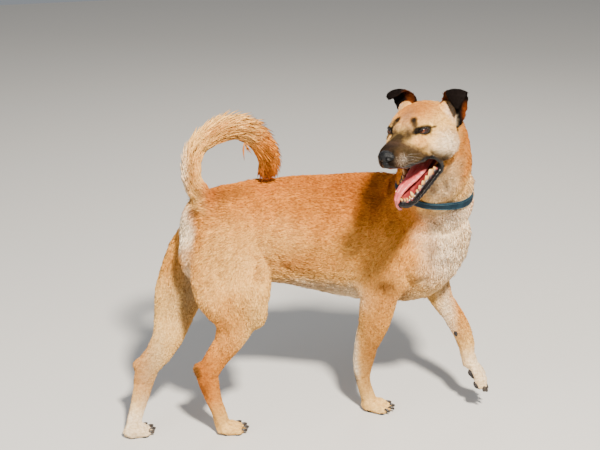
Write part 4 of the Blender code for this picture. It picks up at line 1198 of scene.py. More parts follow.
SHORT = lock_family("short_lock", [
    ([(0.42, 0.14, 1.0, 0.08)], (1.0, 0.0, 0.13)), ([(0.50, 0.18, 0.9, 0.07)], (1.0, 0.22, 0.10)),
    ([(0.38, 0.12, 1.1, 0.08)], (1.0, -0.20, 0.18)), ([(0.46, 0.20, 0.8, 0.07)], (1.0, 0.05, 0.24))])
LONG = lock_family("long_lock", [
    ([(0.30, 0.14, 1.0, 0.08), (0.68, 0.26, 0.75, 0.06)], (1.0, 0.05, 0.26)),
    ([(0.30, 0.18, 0.9, 0.08), (0.66, 0.36, 0.8, 0.06)], (1.0, -0.25, 0.42)),
    ([(0.34, 0.12, 1.1, 0.08), (0.70, 0.20, 0.7, 0.06)], (1.0, 0.28, 0.16)),
    ([(0.32, 0.20, 0.9, 0.08), (0.68, 0.30, 0.8, 0.06)], (1.0, 0.10, 0.34))])
print("points to a lock:", SHORT[1], LONG[1])

# %% Words for node trees
def node_tree(name, inputs):
    """A Geometry Nodes tree with geometry in and out and named inputs, and its sockets by name."""
    tree = bpy.data.node_groups.new(name, "GeometryNodeTree")
    face = tree.interface
    face.new_socket("Geometry", in_out="INPUT", socket_type="NodeSocketGeometry")
    sockets = {}
    for label, kind in inputs.items():
        sockets[label] = face.new_socket(label, in_out="INPUT", socket_type="NodeSocket" + kind)
    face.new_socket("Geometry", in_out="OUTPUT", socket_type="NodeSocketGeometry")
    return tree, sockets


def words_for(tree):
    """`put` adds a node, `named` reads a stored value, `finish` makes copies real and dyes them."""

    def put(kind, settings=None, inputs=None):
        node = tree.nodes.new(kind)
        for key, value in (settings or {}).items():
            setattr(node, key, value)
        for key, value in (inputs or {}).items():
            if isinstance(value, bpy.types.NodeSocket):
                tree.links.new(value, node.inputs[key])
            else:
                node.inputs[key].default_value = value
        return node

    def named(name, kind="FLOAT"):
        found = put("GeometryNodeInputNamedAttribute", {"data_type": kind}, {"Name": name})
        return found.outputs["Attribute"]

    def finish(copies, material):
        real = put("GeometryNodeRealizeInstances", {}, {"Geometry": copies.outputs[0]})
        dyed = put("GeometryNodeSetMaterial", {}, {"Geometry": real.outputs[0], "Material": material})
        tree.links.new(dyed.outputs[0], put("NodeGroupOutput").inputs[0])

    return put, named, finish


# %% The coat tree
def coat_tree():
    """Scatter locks over the part of the skin whose `patch` is Part."""
    tree, sockets = node_tree("coat", {
        "Part": "Int", "Spacing": "Float", "Width": "Float", "Lift": "Float", "Seed": "Int",
        "Locks": "Collection", "Finish": "Material"})
    put, named, finish = words_for(tree)

    def sum_of(operation, *values):
        return put("ShaderNodeMath", {"operation": operation}, dict(enumerate(values))).outputs[0]

    def chance_of(kind, values, seed_step):
        seed = sum_of("ADD", given["Seed"], float(seed_step))
        return put("FunctionNodeRandomValue", {"data_type": kind}, {**values, "Seed": seed}).outputs

    given = put("NodeGroupInput").outputs
    other = put("FunctionNodeCompare", {"data_type": "INT", "operation": "NOT_EQUAL"},
                {"A": named("patch", "INT"), "B": given["Part"]})
    part = put("GeometryNodeDeleteGeometry", {"domain": "FACE"},
               {"Geometry": given["Geometry"], "Selection": other.outputs[0]})
    scatter = put("GeometryNodeDistributePointsOnFaces", {"distribute_method": "POISSON"}, {
        "Mesh": part.outputs[0], "Distance Min": given["Spacing"], "Density Max": 700000.0,
        "Density Factor": named("cover"), "Seed": given["Seed"]})
    kept = put("GeometryNodeStoreNamedAttribute", {"data_type": "FLOAT", "domain": "POINT"}, {
        "Geometry": scatter.outputs["Points"], "Name": "tuft",
        "Value": chance_of("FLOAT", {2: 0.0, 3: 1.0}, 1)[1]})
    # the rarest locks are long, broad guard hairs
    share = sum_of("MULTIPLY_ADD", sum_of("POWER", named("tuft"), 4.0), 0.75, 0.78)
    turn = put("FunctionNodeAlignRotationToVector", {"axis": "X", "pivot_axis": "Z"},
               {"Rotation": scatter.outputs["Rotation"], "Vector": named("lie", "FLOAT_VECTOR")})
    sway = chance_of("FLOAT_VECTOR", {0: (-0.12, -0.08, -0.17), 1: (0.12, 0.03, 0.17)}, 3)
    swayed = put("FunctionNodeRotateRotation", {"rotation_space": "LOCAL"},
                 {"Rotation": turn.outputs[0], "Rotate By": sway[0]})
    long = sum_of("MULTIPLY", named("hair"), share)
    wide = sum_of("MULTIPLY", sum_of("POWER", long, 0.5), given["Width"])
    tall = sum_of("MULTIPLY", long, given["Lift"])
    size = put("ShaderNodeCombineXYZ", {}, {0: long, 1: wide, 2: tall})
    source = put("GeometryNodeCollectionInfo", {},
                 {"Collection": given["Locks"], "Separate Children": True, "Reset Children": True})
    finish(put("GeometryNodeInstanceOnPoints", {}, {
        "Points": kept.outputs[0], "Instance": source.outputs[0], "Pick Instance": True,
        "Instance Index": chance_of("INT", {4: 0, 5: 3}, 4)[2],
        "Rotation": swayed.outputs[0], "Scale": size.outputs[0]}), given["Finish"])
    return tree, sockets


# %% Parts of the coat
is_head = (in_head[:, 0] > -0.10) & (in_head[:, 2] > -0.16)
is_head &= (np.abs(in_head[:, 1]) < 0.12) & (rest[:, 2] > 0.60)
on_tail = (GUIDES[:, 6] >= 0.0155) & (GUIDES[:, 2] > 0.52) & (back(GUIDES[:, :3], YARD)[:, 0] < -0.06)
tail_away = np.min(np.linalg.norm(rest[:, None] - GUIDES[:, :3][on_tail][None], axis=2), axis=1)
is_tail = (tail_away < 0.045) & (rest[:, 2] > 0.575)
PARTS = ("head_left", "head_right", "neck", "trunk_left", "trunk_right", "tail", "legs_hind", "legs_fore")
x, y, z = in_yard.T
part = np.where(y > np.interp(x, (-0.25, 0.0, 0.3), (-0.06, 0.015, -0.01)), 3, 4)
part = np.where((x > 0.20) & (z > 0.40), 2, part)
part = np.where((z < 0.36) & (x < -0.06), 6, part)
part = np.where((z < 0.34) & (x > 0.10) & ((z < 0.27) | (x > 0.16)), 7, part)
part = np.where(is_tail, 5, part)
part = np.where(is_head, np.where(in_head[:, 1] > 0, 0, 1), part)
store_patch = skin.data.attributes.new("patch", "INT", "FACE")
corners = np.empty(len(skin.data.polygons) * 3, np.int32)
skin.data.polygons.foreach_get("vertices", corners)
store_patch.data.foreach_set("value", part[corners.reshape(-1, 3)[:, 0]].astype(np.int32))
print({name: int((part == k).sum()) for k, name in enumerate(PARTS)})

# %% [markdown]
# ## Finishes of skin and coat
#
# Where the skin is bare it is black on the lips and lids and red in the mouth, and there it is
# wet: its roughness falls and its grain turns to fine leather.

# %% Skin finish
skin_finish, tree, shader = surface("dog_skin", Specular_IOR_Level=0.06, Coat_Roughness=0.10)
at, fur = place_of(tree), coat_colour(tree)
lip_share, mouth_share = attribute(tree, "lip"), attribute(tree, "mouth")
leather = cells(at, 620.0)
lip_colour = mix(noise(at, 160.0).step(0.40, 0.80), (0.0016, 0.0014, 0.0014), (0.012, 0.008, 0.008))
mouth_colour = mix(noise(at, 70.0, 4.0).step(0.3, 0.7), MOUTH, (0.30, 0.045, 0.042))
# Skin between the tufts is the coat's colour darkened, with a fine random spread: painted shade in the
# gaps between the hairs.
colour = mix(lip_share, vec("SCALE", fur, scale=0.62 + noise(at, 900.0, 2.0) * 0.35), lip_colour)
colour = mix(mouth_share, colour, mouth_colour)
wet = lip_share.max(mouth_share)
feed(shader, Base_Color=colour, Roughness=0.84 - wet * 0.40, Coat_Weight=wet * 0.30)
ridges = noise(at, 520.0, 4.0) * (1.0 - wet) + leather * wet * 3.0
bumped(shader, ridges, 0.5, 0.0012)
skin.data.materials.append(skin_finish)

# %% Coat finish
coat_finish, tree, shader = surface("dog_coat", Specular_IOR_Level=0.04)
chance, along = attribute(tree, "tuft"), attribute(tree, "along")
# A tuft's tone differs at random, and it grows lighter from root to tip: painted shade at the roots and
# painted light on the tips.
shade = 0.70 + chance * 0.30 + along * 0.24
dark_hair = chance.step(0.88, 0.90) * 0.50
coat = vec("SCALE", coat_colour(tree), scale=shade)
colour = mix(dark_hair, coat, vec("MULTIPLY", coat, (0.42, 0.30, 0.20)))
feed(shader, Base_Color=colour, Roughness=0.56 + chance * 0.20)
bumped(shader, noise(place_of(tree), 1400.0, 2.0), 0.25, 0.0004)
print("nodes in the coat's finish:", len(tree.nodes))

# %% [markdown]
# ## The coat
#
# The coat is grown in eight pieces. Each has a map named OFBake in which every tuft is a small
# patch at its root's place on the unwrapped skin.

# %% Grow the coat
# Each piece: spacing of the tufts, width for a hair's length, lift off the skin, kind of lock.
COATS = {
    "head_left": (0.00100, 0.0125, 0.60, SHORT), "head_right": (0.00105, 0.0125, 0.60, SHORT),
    "neck": (0.00200, 0.0110, 0.75, SHORT), "trunk_left": (0.00185, 0.0112, 0.50, SHORT),
    "trunk_right": (0.00175, 0.0112, 0.50, SHORT), "tail": (0.00150, 0.0048, 0.50, LONG),
    "legs_hind": (0.00170, 0.0135, 0.60, SHORT), "legs_fore": (0.00155, 0.0135, 0.60, SHORT)}
PATCH_RADIUS = 0.0015
growth, growth_inputs = coat_tree()


def coat_part(number, name):
    spacing, width, lift, (family, lock_points) = COATS[name]
    piece = bpy.data.objects.new(f"coat_{name}", skin.data)
    bpy.context.scene.collection.objects.link(piece)
    modifier = piece.modifiers.new("coat", "NODES")
    modifier.node_group = growth
    values = {"Part": number, "Spacing": spacing, "Width": width, "Lift": lift,
              "Seed": 10 + 7 * number, "Locks": family, "Finish": coat_finish}
    for label, value in values.items():
        modifier[growth_inputs[label].identifier] = value
    settled(piece)
    mesh = piece.data
    count = len(mesh.vertices)
    roots = np.empty(count * 2)
    mesh.attributes["SkinMap"].data.foreach_get("vector", roots)
    around = np.arange(lock_points) * 2 * math.pi / lock_points
    spot = PATCH_RADIUS * np.stack([np.cos(around), np.sin(around)], axis=1)
    places = roots.reshape(-1, 2) + np.tile(spot, (count // lock_points, 1))
    corner = np.empty(len(mesh.loops), np.int32)
    mesh.loops.foreach_get("vertex_index", corner)
    layer = mesh.uv_layers.new(name="OFBake")
    layer.data.foreach_set("uv", places[corner].ravel())
    for extra in ("SkinMap", "lie", "hair", "cover", "patch", "lip", "mouth"):
        if extra in mesh.attributes:
            mesh.attributes.remove(mesh.attributes[extra])
    stands_for(piece, "coat_tan", *FLESH)
    triangles = len(mesh.loops) - 2 * len(mesh.polygons)
    print(piece.name, count // lock_points, "tufts,", triangles, "triangles")


for number, name in enumerate(PARTS):
    coat_part(number, name)
for extra in ("lie", "hair", "cover", "patch"):
    skin.data.attributes.remove(skin.data.attributes[extra])
stands_for(skin, "coat_tan", *FLESH)
print("skin:", len(skin.data.polygons), "faces")

# %% [markdown]
# ## Eyes
#
# Each eye is a ball with a clear bulge at the front. The iris is amber brown with a dark rim and
# a round pupil. A black wet edge runs round the opening of the lids.

# %% Turned forms
EYE_LOOK = (0.96, 0.15, 0.10)


def eye_frame(side):
    """The eye's own frame: z out of the pupil."""
    look = Vector((EYE_LOOK[0], EYE_LOOK[1] * side, EYE_LOOK[2])).normalized()
    turn = look.to_track_quat("Z", "Y").to_matrix().to_4x4()
    return HEAD @ Matrix.Translation((EYE[0], EYE[1] * side, EYE[2])) @ turn


def ball(name, matrix, profile, around=48):
    """A turned form about z from rows of radius, height."""
    points = []
    for r, z in profile:
        for k in range(around):
            a = 2 * math.pi * k / around
            points.append((r * math.cos(a), r * math.sin(a), z))
    points += [(0, 0, profile[0][1]), (0, 0, profile[-1][1])]
    return faced_out(make(name, moved(points, matrix), tube_faces(len(profile), around)))


# %% Finishes of eye and leather
def eye_finish(name, matrix):
    made, tree, shader = surface(name, Roughness=0.12, Specular_IOR_Level=0.35,
                                 Coat_Weight=0.35, Coat_Roughness=0.02)
    at = local(tree, matrix)
    flat = vec("MULTIPLY", at, (1, 1, 0))
    out = vec("LENGTH", flat, out="Value") * (1.0 / EYE_RADIUS)
    rays = noise(vec("NORMALIZE", flat), 9.0)
    iris = mix(rays.step(0.35, 0.65), (0.030, 0.007, 0.002), (0.110, 0.026, 0.005))
    iris = mix(out.step(0.44, 0.58), iris, (0.008, 0.003, 0.002))
    white = mix(noise(at, 500.0).step(0.4, 0.7), (0.030, 0.014, 0.010), (0.012, 0.005, 0.004))
    colour = mix(out.step(0.59, 0.64), iris, white)
    colour = mix(out.step(0.21, 0.25), (0.002, 0.002, 0.002), colour)
    feed(shader, Base_Color=colour)
    return made


def leathery(name, colour, light, scale, rough):
    """Dark pebbled skin: nose, pads and lid edges."""
    made, tree, shader = surface(name, Specular_IOR_Level=0.26)
    at = place_of(tree)
    worn = noise(at, scale * 0.25, 4.0)
    colour = mix(worn.step(0.45, 0.75) * 0.6, colour, light)
    feed(shader, Base_Color=colour, Roughness=rough + worn * 0.20)
    bumped(shader, cells(at, scale).step(0.0, 0.25) + noise(at, scale * 3.0, 2.0) * 0.3, 0.45, 0.0006)
    return made


# %% Eyes and the edges of their lids
rim_finish = leathery("lid_rim_black", (0.006, 0.005, 0.005), (0.022, 0.016, 0.015), 1400.0, 0.18)


def lid_rim(name, side):
    """The black wet margin of both lids, a closed loop that follows the opening."""
    axes, centre = lid_axes(side), eye_centre(side)
    turn = np.linspace(0, 2 * math.pi, 72, endpoint=False)
    middle, reach = 0.5 * (OPEN_IN[0] + OPEN_OUT[0]), 0.5 * (OPEN_IN[0] - OPEN_OUT[0])
    x = middle - reach * np.cos(turn)
    upper, lower = lid_edges(x)
    y = np.where(turn < math.pi, upper, lower)
    r = np.hypot(x, y)
    z = height_on_ball(EYE_RADIUS + 0.0005, r, 0.0108)
    line = centre + np.stack([x, y, z], axis=1) @ axes
    thick = 0.00110 + 0.00050 * (y > 0.5 * (upper + lower))
    rows = np.hstack([line, thick[:, None]])
    return faced_out(make(name, *rope(np.vstack([rows, rows[:1]]), around=8, up=tuple(axes[2]))))


for name, side in (("eye_left", 1), ("eye_right", -1)):
    matrix = eye_frame(side)
    rows = []
    for a in np.linspace(0.06, math.pi - 0.62, 24):
        rows.append((EYE_RADIUS * math.sin(a), -EYE_RADIUS * math.cos(a)))
    for a in np.linspace(1.35, 0.06, 10):
        rows.append((EYE_RADIUS * 0.58 * math.sin(a), EYE_RADIUS * (0.71 + 0.37 * math.cos(a))))
    eye = ball(name + "_ball", matrix, rows)
    eye.data.materials.append(eye_finish(name, matrix))
    stands_for(eye, "eye_brown", name)
    rim = lid_rim(name + "_lid_rim", side)
    rim.data.materials.append(rim_finish)
    stands_for(rim, "nose_black", name)
    print(name, len(eye.data.polygons), "and", len(rim.data.polygons), "faces")

# %% [markdown]
# ## Nose and tongue
#
# Both start from their solids, wrapped in small voxels and eased. The nose then gets nostrils, a
# groove down the front and pebbled leather. The tongue gets a furrow, a rolled edge and a wet
# surface with fine points.

# %% Nose
def refined(name, node, voxel, rounds):
    """A copy of a solid with a fine, even, eased surface."""
    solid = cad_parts[node].data
    loose = make(name, [v.co for v in solid.vertices], [face.vertices for face in solid.polygons])
    piece = remeshed(loose, voxel)
    set_points(piece.data, eased(points_of(piece.data), edges_of(piece.data), rounds))
    return piece


nose = refined("nose_leather", "nose", 0.0007, 10)
NOSE_MIDDLE, NOSE_SCALE, NOSE_BACK = np.array((0.098, 0.0, -0.0300)), (1.08, 1.16, 1.16), (0.0012, 0, 0)
NOSE_GROOVE = ((0.103, 0, -0.036), (0.102, 0, -0.050), (0.096, 0, -0.058))
in_nose = back(points_of(nose.data), HEAD)
rest_nose = moved(NOSE_MIDDLE + (in_nose - NOSE_MIDDLE) * NOSE_SCALE - NOSE_BACK, HEAD)
set_points(nose.data, rest_nose)
in_nose, out = back(rest_nose, HEAD), normals_of(nose.data)
sink = np.zeros(len(rest_nose))
for side in (1, -1):
    hole = near(in_nose, (0.0985, 0.0086 * side, -0.0420), (0.0070, 0.0046, 0.0042))
    slit_line = ((0.096, 0.0110 * side, -0.0440), (0.088, 0.0180 * side, -0.0475))
    wing = near(in_nose, (0.094, 0.0110 * side, -0.0360), (0.008, 0.005, 0.0038))
    slit = grooved(in_nose, slit_line, 0.0016, 0.0030)
    sink += -0.0062 * np.clip(hole * 1.6, 0, 1) - slit + 0.0014 * wing
sink -= grooved(in_nose, NOSE_GROOVE, 0.0010, 0.0011)
set_points(nose.data, rest_nose + out * sink[:, None])
nose_finish = leathery("nose_leather", (0.0016, 0.0015, 0.0018), (0.006, 0.006, 0.007), 760.0, 0.30)
nose.data.materials.append(nose_finish)
stands_for(nose, "nose_black", "nose")
print("nose:", len(nose.data.polygons), "faces")

# %% Tongue
tongue = refined("tongue_flesh", "tongue", 0.0011, 12)
rest_tongue = points_of(tongue.data)
in_tongue, out = back(rest_tongue, JAW), normals_of(tongue.data)
# The furrow from root to tip, in millimetres: places along the jaw, and its shift off the middle.
FURROW_LINE = ((30, 90, 114, 132, 145), (0, -2, -6, -10, -15))
middle = np.interp(in_tongue[:, 0], *mm(FURROW_LINE))
across = in_tongue[:, 1] - middle
slim = 1.0 - 0.30 * np.clip((in_tongue[:, 0] - 0.080) / 0.060, 0, 1)
in_tongue[:, 1] = middle + across * slim
rest_tongue = moved(in_tongue, JAW)
on_top = np.clip((out @ np.array(JAW.to_3x3().normalized()))[:, 2], 0, 1)
on_top += np.clip((in_tongue[:, 0] - 0.138) / 0.006, 0, 1) * 0.6
furrow = -0.0014 * np.exp(-((across / 0.0022) ** 2)) * on_top
roll = 0.0009 * np.exp(-(((np.abs(across) - 0.0105) / 0.003) ** 2)) * on_top
ripple = 0.00025 * np.sin(in_tongue[:, 0] * 520.0 + across * 160.0)
set_points(tongue.data, rest_tongue + out * (furrow + roll + ripple)[:, None])
tongue_finish, tree, shader = surface("tongue_wet", Specular_IOR_Level=0.6, Subsurface_Weight=0.15,
                                      Subsurface_Radius=(0.006, 0.002, 0.001),
                                      Coat_Weight=0.45, Coat_Roughness=0.12)
at = place_of(tree)
pink = mix(noise(at, 60.0, 4.0).step(0.3, 0.7), (0.38, 0.045, 0.048), (0.50, 0.095, 0.090))
papillae = cells(at, 900.0, "F1")
# The tongue darkens to maroon towards its root: painted shade of the inside of the mouth.
root_shade_share = axis_of(local(tree, JAW), "X").step(0.095, 0.045)
colour = mix(root_shade_share * 0.80, pink, (0.16, 0.016, 0.020))
feed(shader, Base_Color=colour, Roughness=0.22 + papillae * 0.35)
bumped(shader, papillae + noise(at, 200.0) * 0.5, 0.5, 0.0006)
tongue.data.materials.append(tongue_finish)
stands_for(tongue, "tongue_pink", "tongue")
print("tongue:", len(tongue.data.polygons), "faces")

# %% [markdown]
# ## Things set out one by one
#
# Teeth, claws, whiskers and the collar's stitches are each one small form set out on points. Every
# point says which way the form runs, which side of it is up and how large it is. One node tree
# does all four.

# %% A tree that sets forms out on points
def set_out_tree():
    """Copies of Form on points, turned by `way` and `up` and sized by `size`."""
    tree, sockets = node_tree("set_out", {"Form": "Object", "Finish": "Material"})
    put, named, finish = words_for(tree)
    given = put("NodeGroupInput").outputs
    form = put("GeometryNodeObjectInfo", {}, {"Object": given["Form"], "As Instance": True})
    aim = put("FunctionNodeAlignRotationToVector", {"axis": "X"}, {"Vector": named("way", "FLOAT_VECTOR")})
    upright = put("FunctionNodeAlignRotationToVector", {"axis": "Z", "pivot_axis": "X"},
                  {"Rotation": aim.outputs[0], "Vector": named("up", "FLOAT_VECTOR")})
    finish(put("GeometryNodeInstanceOnPoints", {}, {
        "Points": given["Geometry"], "Instance": form.outputs["Geometry"],
        "Rotation": upright.outputs[0], "Scale": named("size", "FLOAT_VECTOR")}), given["Finish"])
    return tree, sockets


set_out, set_out_inputs = set_out_tree()


def strewn(name, form, rows, finish, slot_name, nodes):
    """One piece of many like forms. Each row: place, way, up and size, as twelve numbers."""
    rows = np.array(rows, float).reshape(-1, 12)
    piece = make(name, rows[:, :3], [])
    for label, first in (("way", 3), ("up", 6), ("size", 9)):
        store(piece.data, label, "FLOAT_VECTOR", rows[:, first:first + 3])
    modifier = piece.modifiers.new("set_out", "NODES")
    modifier.node_group = set_out
    modifier[set_out_inputs["Form"].identifier] = form
    modifier[set_out_inputs["Finish"].identifier] = finish
    settled(piece)
    for label in ("way", "up", "size"):
        if label in piece.data.attributes:
            piece.data.attributes.remove(piece.data.attributes[label])
    piece.data.polygons.foreach_set("use_smooth", [True] * len(piece.data.polygons))
    form.hide_render = form.hide_viewport = True
    if form.name in bpy.context.scene.collection.objects:
        bpy.context.scene.collection.objects.unlink(form)
    stands_for(piece, slot_name, *nodes)
    print(name, len(rows), "forms,", len(piece.data.polygons), "faces")


def row_of(place, way, up, size):
    return [*place, *way, *up, *size]


# %% Teeth
# Teeth of one side of the lower jaw: x, y, height, half length, half width in millimetres, points.
LOWER_TEETH = ((140.5, 3, 7.2, 2.2, 2.4, 1), (139, 7.8, 7.8, 2.3, 2.6, 1),
               (134.5, 11.8, 8.2, 2.4, 2.6, 1), (128, 14.8, 16.5, 4, 3.4, 1),
               (115, 18.5, 6, 3.4, 2.6, 1), (105, 20.3, 7.4, 4.6, 2.8, 3),
               (93.5, 22.5, 8.4, 5, 3, 3), (81, 25, 9.2, 5.6, 3.2, 3),
               (66.5, 28, 12.2, 8, 4, 3), (53.5, 30.5, 7.2, 4, 3.4, 1))
GUM = ((45, 32.5), (56, 30.5), (76, 27), (98, 22), (118, 18), (131, 14),
       (138.5, 7.5), (140, 0))
GUM_Z, GUM_RADIUS = 0.0095, 0.0034


def cusp(name, peaks):
    """A crown one unit high along x, with side points for a cheek tooth."""
    shapes = [rope([(-0.30, 0, 0, 0.80), (0.0, 0, 0, 1.0), (0.35, 0, 0, 0.92), (0.70, 0, 0.02, 0.58),
                    (0.92, 0, 0.03, 0.24), (1.0, 0, 0.03, 0.08)], 14, up=(0, 1, 0))]
    if peaks > 1:
        for shift in (-0.72, 0.72):
            rows = [(-0.30, 0, shift * 0.7, 0.50), (0.15, 0, shift, 0.58), (0.42, 0, shift, 0.36),
                    (0.58, 0, shift, 0.10)]
            shapes.append(rope(rows, 12, up=(0, 1, 0)))
    return faced_out(make(name, *joined(shapes)))


def enamel():
    made, tree, shader = surface("tooth_enamel", Specular_IOR_Level=0.6,
                                 Coat_Weight=0.4, Coat_Roughness=0.1)
    at = local(tree, JAW)
    low = axis_of(at, "Z").step(0.021, 0.011)
    stain = noise(at, 260.0, 4.0).step(0.40, 0.70)
    colour = mix(low, (0.68, 0.44, 0.17), (0.40, 0.17, 0.035))
    feed(shader, Base_Color=mix(stain * 0.7, colour, (0.48, 0.24, 0.07)), Roughness=0.16 + stain * 0.20)
    bumped(shader, noise(at, 700.0), 0.2, 0.0004)
    return made


JAW_SCALE = 1.07
teeth = [(*mm(row[:-1]), row[-1]) for row in LOWER_TEETH]
tooth_rows = {1: [], 3: []}
jaw_turn = np.array(JAW.to_3x3())
for side in (1, -1):
    arch = np.array([(x, y * side) for x, y, *_ in teeth])
    run_of = np.gradient(arch, axis=0)
    for (x, y, high, half_long, half_wide, peaks), (ax, ay) in zip(teeth, run_of):
        lean = 0.16 if high > 0.012 and peaks == 1 else 0.05
        spot = moved([(x, y * side, GUM_Z + 0.0008)], JAW)[0]
        way = jaw_turn @ np.array((lean, 0.10 * side, 1.0))
        along_arch = jaw_turn @ np.array((ax, ay, 0.0))
        size = (high * JAW_SCALE, half_wide * JAW_SCALE, half_long * JAW_SCALE)
        tooth_rows[peaks].append(row_of(spot, way, along_arch, size))
enamel_finish = enamel()
for name, form_name, peaks in (("teeth_pointed", "cusp_single", 1), ("teeth_cheek", "cusp_triple", 3)):
    form = cusp(form_name, peaks)
    strewn(name, form, tooth_rows[peaks], enamel_finish, "teeth_ivory", ("teeth_lower",))

# %% Gums
gum_line = np.array([(x, y, GUM_Z - 0.0012, GUM_RADIUS * 1.15) for x, y in mm(GUM)])
gum_line = np.vstack([gum_line, (gum_line * (1, -1, 1, 1))[-2::-1]])
gum_rows = curve_through(gum_line, 8)
gum_rows[:, 3] += 0.0003 * np.sin(np.arange(len(gum_rows)) * 1.1)
gum_rows = np.hstack([moved(gum_rows[:, :3], JAW), gum_rows[:, 3:] * JAW_SCALE])
gums = faced_out(make("gum_lower", *rope(gum_rows, 14)))
gum_finish, tree, shader = surface("gum_wet", Specular_IOR_Level=0.6,
                                   Coat_Weight=0.4, Coat_Roughness=0.15)
at = place_of(tree)
spots = noise(at, 95.0, 4.0).step(0.30, 0.46)
colour = mix(spots, (0.36, 0.060, 0.058), (0.016, 0.009, 0.009))
feed(shader, Base_Color=colour, Roughness=0.22 + noise(at, 400.0) * 0.2)
bumped(shader, noise(at, 500.0), 0.3, 0.0006)
gums.data.materials.append(gum_finish)
stands_for(gums, "tongue_pink", "teeth_lower")
print("gums:", len(gums.data.polygons), "faces")

# %% Claws
claw_form = rope([(-0.05, 0, 0.0, 1.0), (0.25, 0, -0.10, 0.98), (0.50, 0, -0.42, 0.80),
                  (0.75, 0, -1.00, 0.52), (0.92, 0, -1.60, 0.26), (1.0, 0, -1.95, 0.08)])
claw_form = faced_out(make("claw_form", *claw_form))
claw_rows = []
for spec in PAWS.values():
    matrix = paw_frame(spec)
    turn = np.array(matrix.to_3x3())
    for fan, forward in TOE_FAN:
        slant = math.radians(fan * TOE_SPREAD)
        spot = moved([(forward - CLAW_ROOT, fan * TOE_SPACING * 1.04, 0.0)], matrix)[0]
        way = turn @ np.array((math.cos(slant), math.sin(slant), 0.0))
        size = (CLAW_LENGTH, CLAW_RADIUS, CLAW_RADIUS)
        claw_rows.append(row_of(spot, way, turn @ np.array((0, 0, 1.0)), size))
horn, tree, shader = surface("claw_horn", Specular_IOR_Level=0.5)
at = place_of(tree)
streaks = noise(at, 420.0, 4.0, stretch=(1.0, 1.0, 0.35))
colour = mix(streaks.step(0.45, 0.75), (0.018, 0.013, 0.010), (0.075, 0.050, 0.034))
feed(shader, Base_Color=colour, Roughness=0.26 + streaks * 0.3)
bumped(shader, streaks, 0.35, 0.0004)
LEGS = ("leg_hind_right", "leg_hind_left", "leg_fore_right", "leg_fore_left")
strewn("claws", claw_form, claw_rows, horn, "nose_black", LEGS)

# %% Pads under the paws
def pads(matrix, standing):
    """The heart-shaped main pad and four toe pads of one paw."""
    low = -0.0085 if standing else -0.0110
    shapes = [bulge(matrix, (-0.004, 0, low), (0.0125, 0.0150, 0.0075))]
    for side in (1, -1):
        shapes.append(bulge(matrix, (-0.010, 0.0085 * side, low), (0.0085, 0.0080, 0.0070)))
    for fan, forward in TOE_FAN:
        spot = (forward - 0.0105, fan * TOE_SPACING * 0.98, low - 0.0015)
        shapes.append(bulge(matrix, spot, (0.0092, 0.0060, 0.0055), fan * TOE_SPREAD))
    return shapes


pad_shapes = []
for name, spec in PAWS.items():
    pad_shapes += pads(paw_frame(spec), name != "fore_left")
# the small pad behind each wrist
for spot in ((0.1395, -0.012, 0.0850), (0.3755, 0.0130, 0.1950)):
    pad_shapes.append(bulge(YARD, spot, (0.0054, 0.0054, 0.0078), 0.0, -15.0))
paw_pads = remeshed(make("paw_pads", *joined(pad_shapes)), 0.0013)
rest_pads = points_of(paw_pads.data)
rest_pads[:, 2] = np.maximum(rest_pads[:, 2], 0.0)
set_points(paw_pads.data, rest_pads)
pad_finish = leathery("pad_leather", (0.014, 0.012, 0.012), (0.060, 0.048, 0.044), 900.0, 0.48)
paw_pads.data.materials.append(pad_finish)
stands_for(paw_pads, "nose_black", *LEGS)
print("pads:", len(paw_pads.data.polygons), "faces")

# %% Whiskers
whisker_line = [(t, 0, 0.16 * t * t, 1.0 - 0.93 * t) for t in np.linspace(0, 1, 9)]
whisker_form = faced_out(make("whisker_form", *rope(whisker_line, 5)))
whisker_rows = []
chooser = np.random.default_rng(4)
face_tree = tree_of(skin.data, in_head)
head_turn = np.array(HEAD.to_3x3())
for side in (1, -1):
    for line in range(4):
        for k in range(5):
            start = Vector((0.078 - 0.0075 * k, 0.05 * side, -0.044 - 0.0055 * line + 0.001 * k))
            hit = face_tree.ray_cast(start, Vector((0, -side, 0)))[0]
            if hit is None:
                continue
            way = np.array((-0.62 - 0.05 * k, 0.75 * side, -0.22 + 0.10 * (1.5 - line)))
            way += chooser.normal(0, 0.06, 3)
            size = (0.020 + 0.003 * k, 0.00016, 0.00016)
            down = head_turn @ np.array((0, 0, -1.0))
            whisker_rows.append(row_of(moved([hit], HEAD)[0], head_turn @ way, down, size))
hair_finish, tree, shader = surface("whisker_hair", Specular_IOR_Level=0.4)
tone = noise(place_of(tree), 60.0, 2.0)
colour = mix(tone.step(0.4, 0.6), (0.010, 0.008, 0.006), (0.26, 0.22, 0.18))
feed(shader, Base_Color=colour, Roughness=0.35 + tone * 0.2)
strewn("whiskers", whisker_form, whisker_rows, hair_finish, "ear_dark", ("head",))

# %% [markdown]
# ## Collar
#
# A flat two-ply band runs round the neck in the plane of its solid. Its edges are rounded, two
# rows of stitches run along it, and a plain buckle and ring sit at the nape.

# %% Collar band
COLLAR_THICK, COLLAR_STEPS, RIBS = 0.0028, 180, 2400.0
# Round the band's section: share of its half width, share of its thickness outwards.
BAND_EDGE = ((-0.94, 0.0), (-1.0, 0.35), (-1.0, 0.70), (-0.92, 0.98),
             (-0.70, 1.04), (-0.62, 0.94), (-0.3, 1.08))
BAND_SECTION = (*BAND_EDGE, (0.0, 1.12), *((-wide, thick) for wide, thick in BAND_EDGE[::-1]))
across = np.cross(collar_axis, np.array(YARD.to_3x3() @ Vector((1.0, 0.0, 0.0))))
across /= np.linalg.norm(across)
deep_way = np.cross(across, collar_axis)
collar_tree = tree_of(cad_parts["collar"].data)
angles = np.arange(COLLAR_STEPS) * 2 * math.pi / COLLAR_STEPS
ways = np.cos(angles)[:, None] * across + np.sin(angles)[:, None] * deep_way


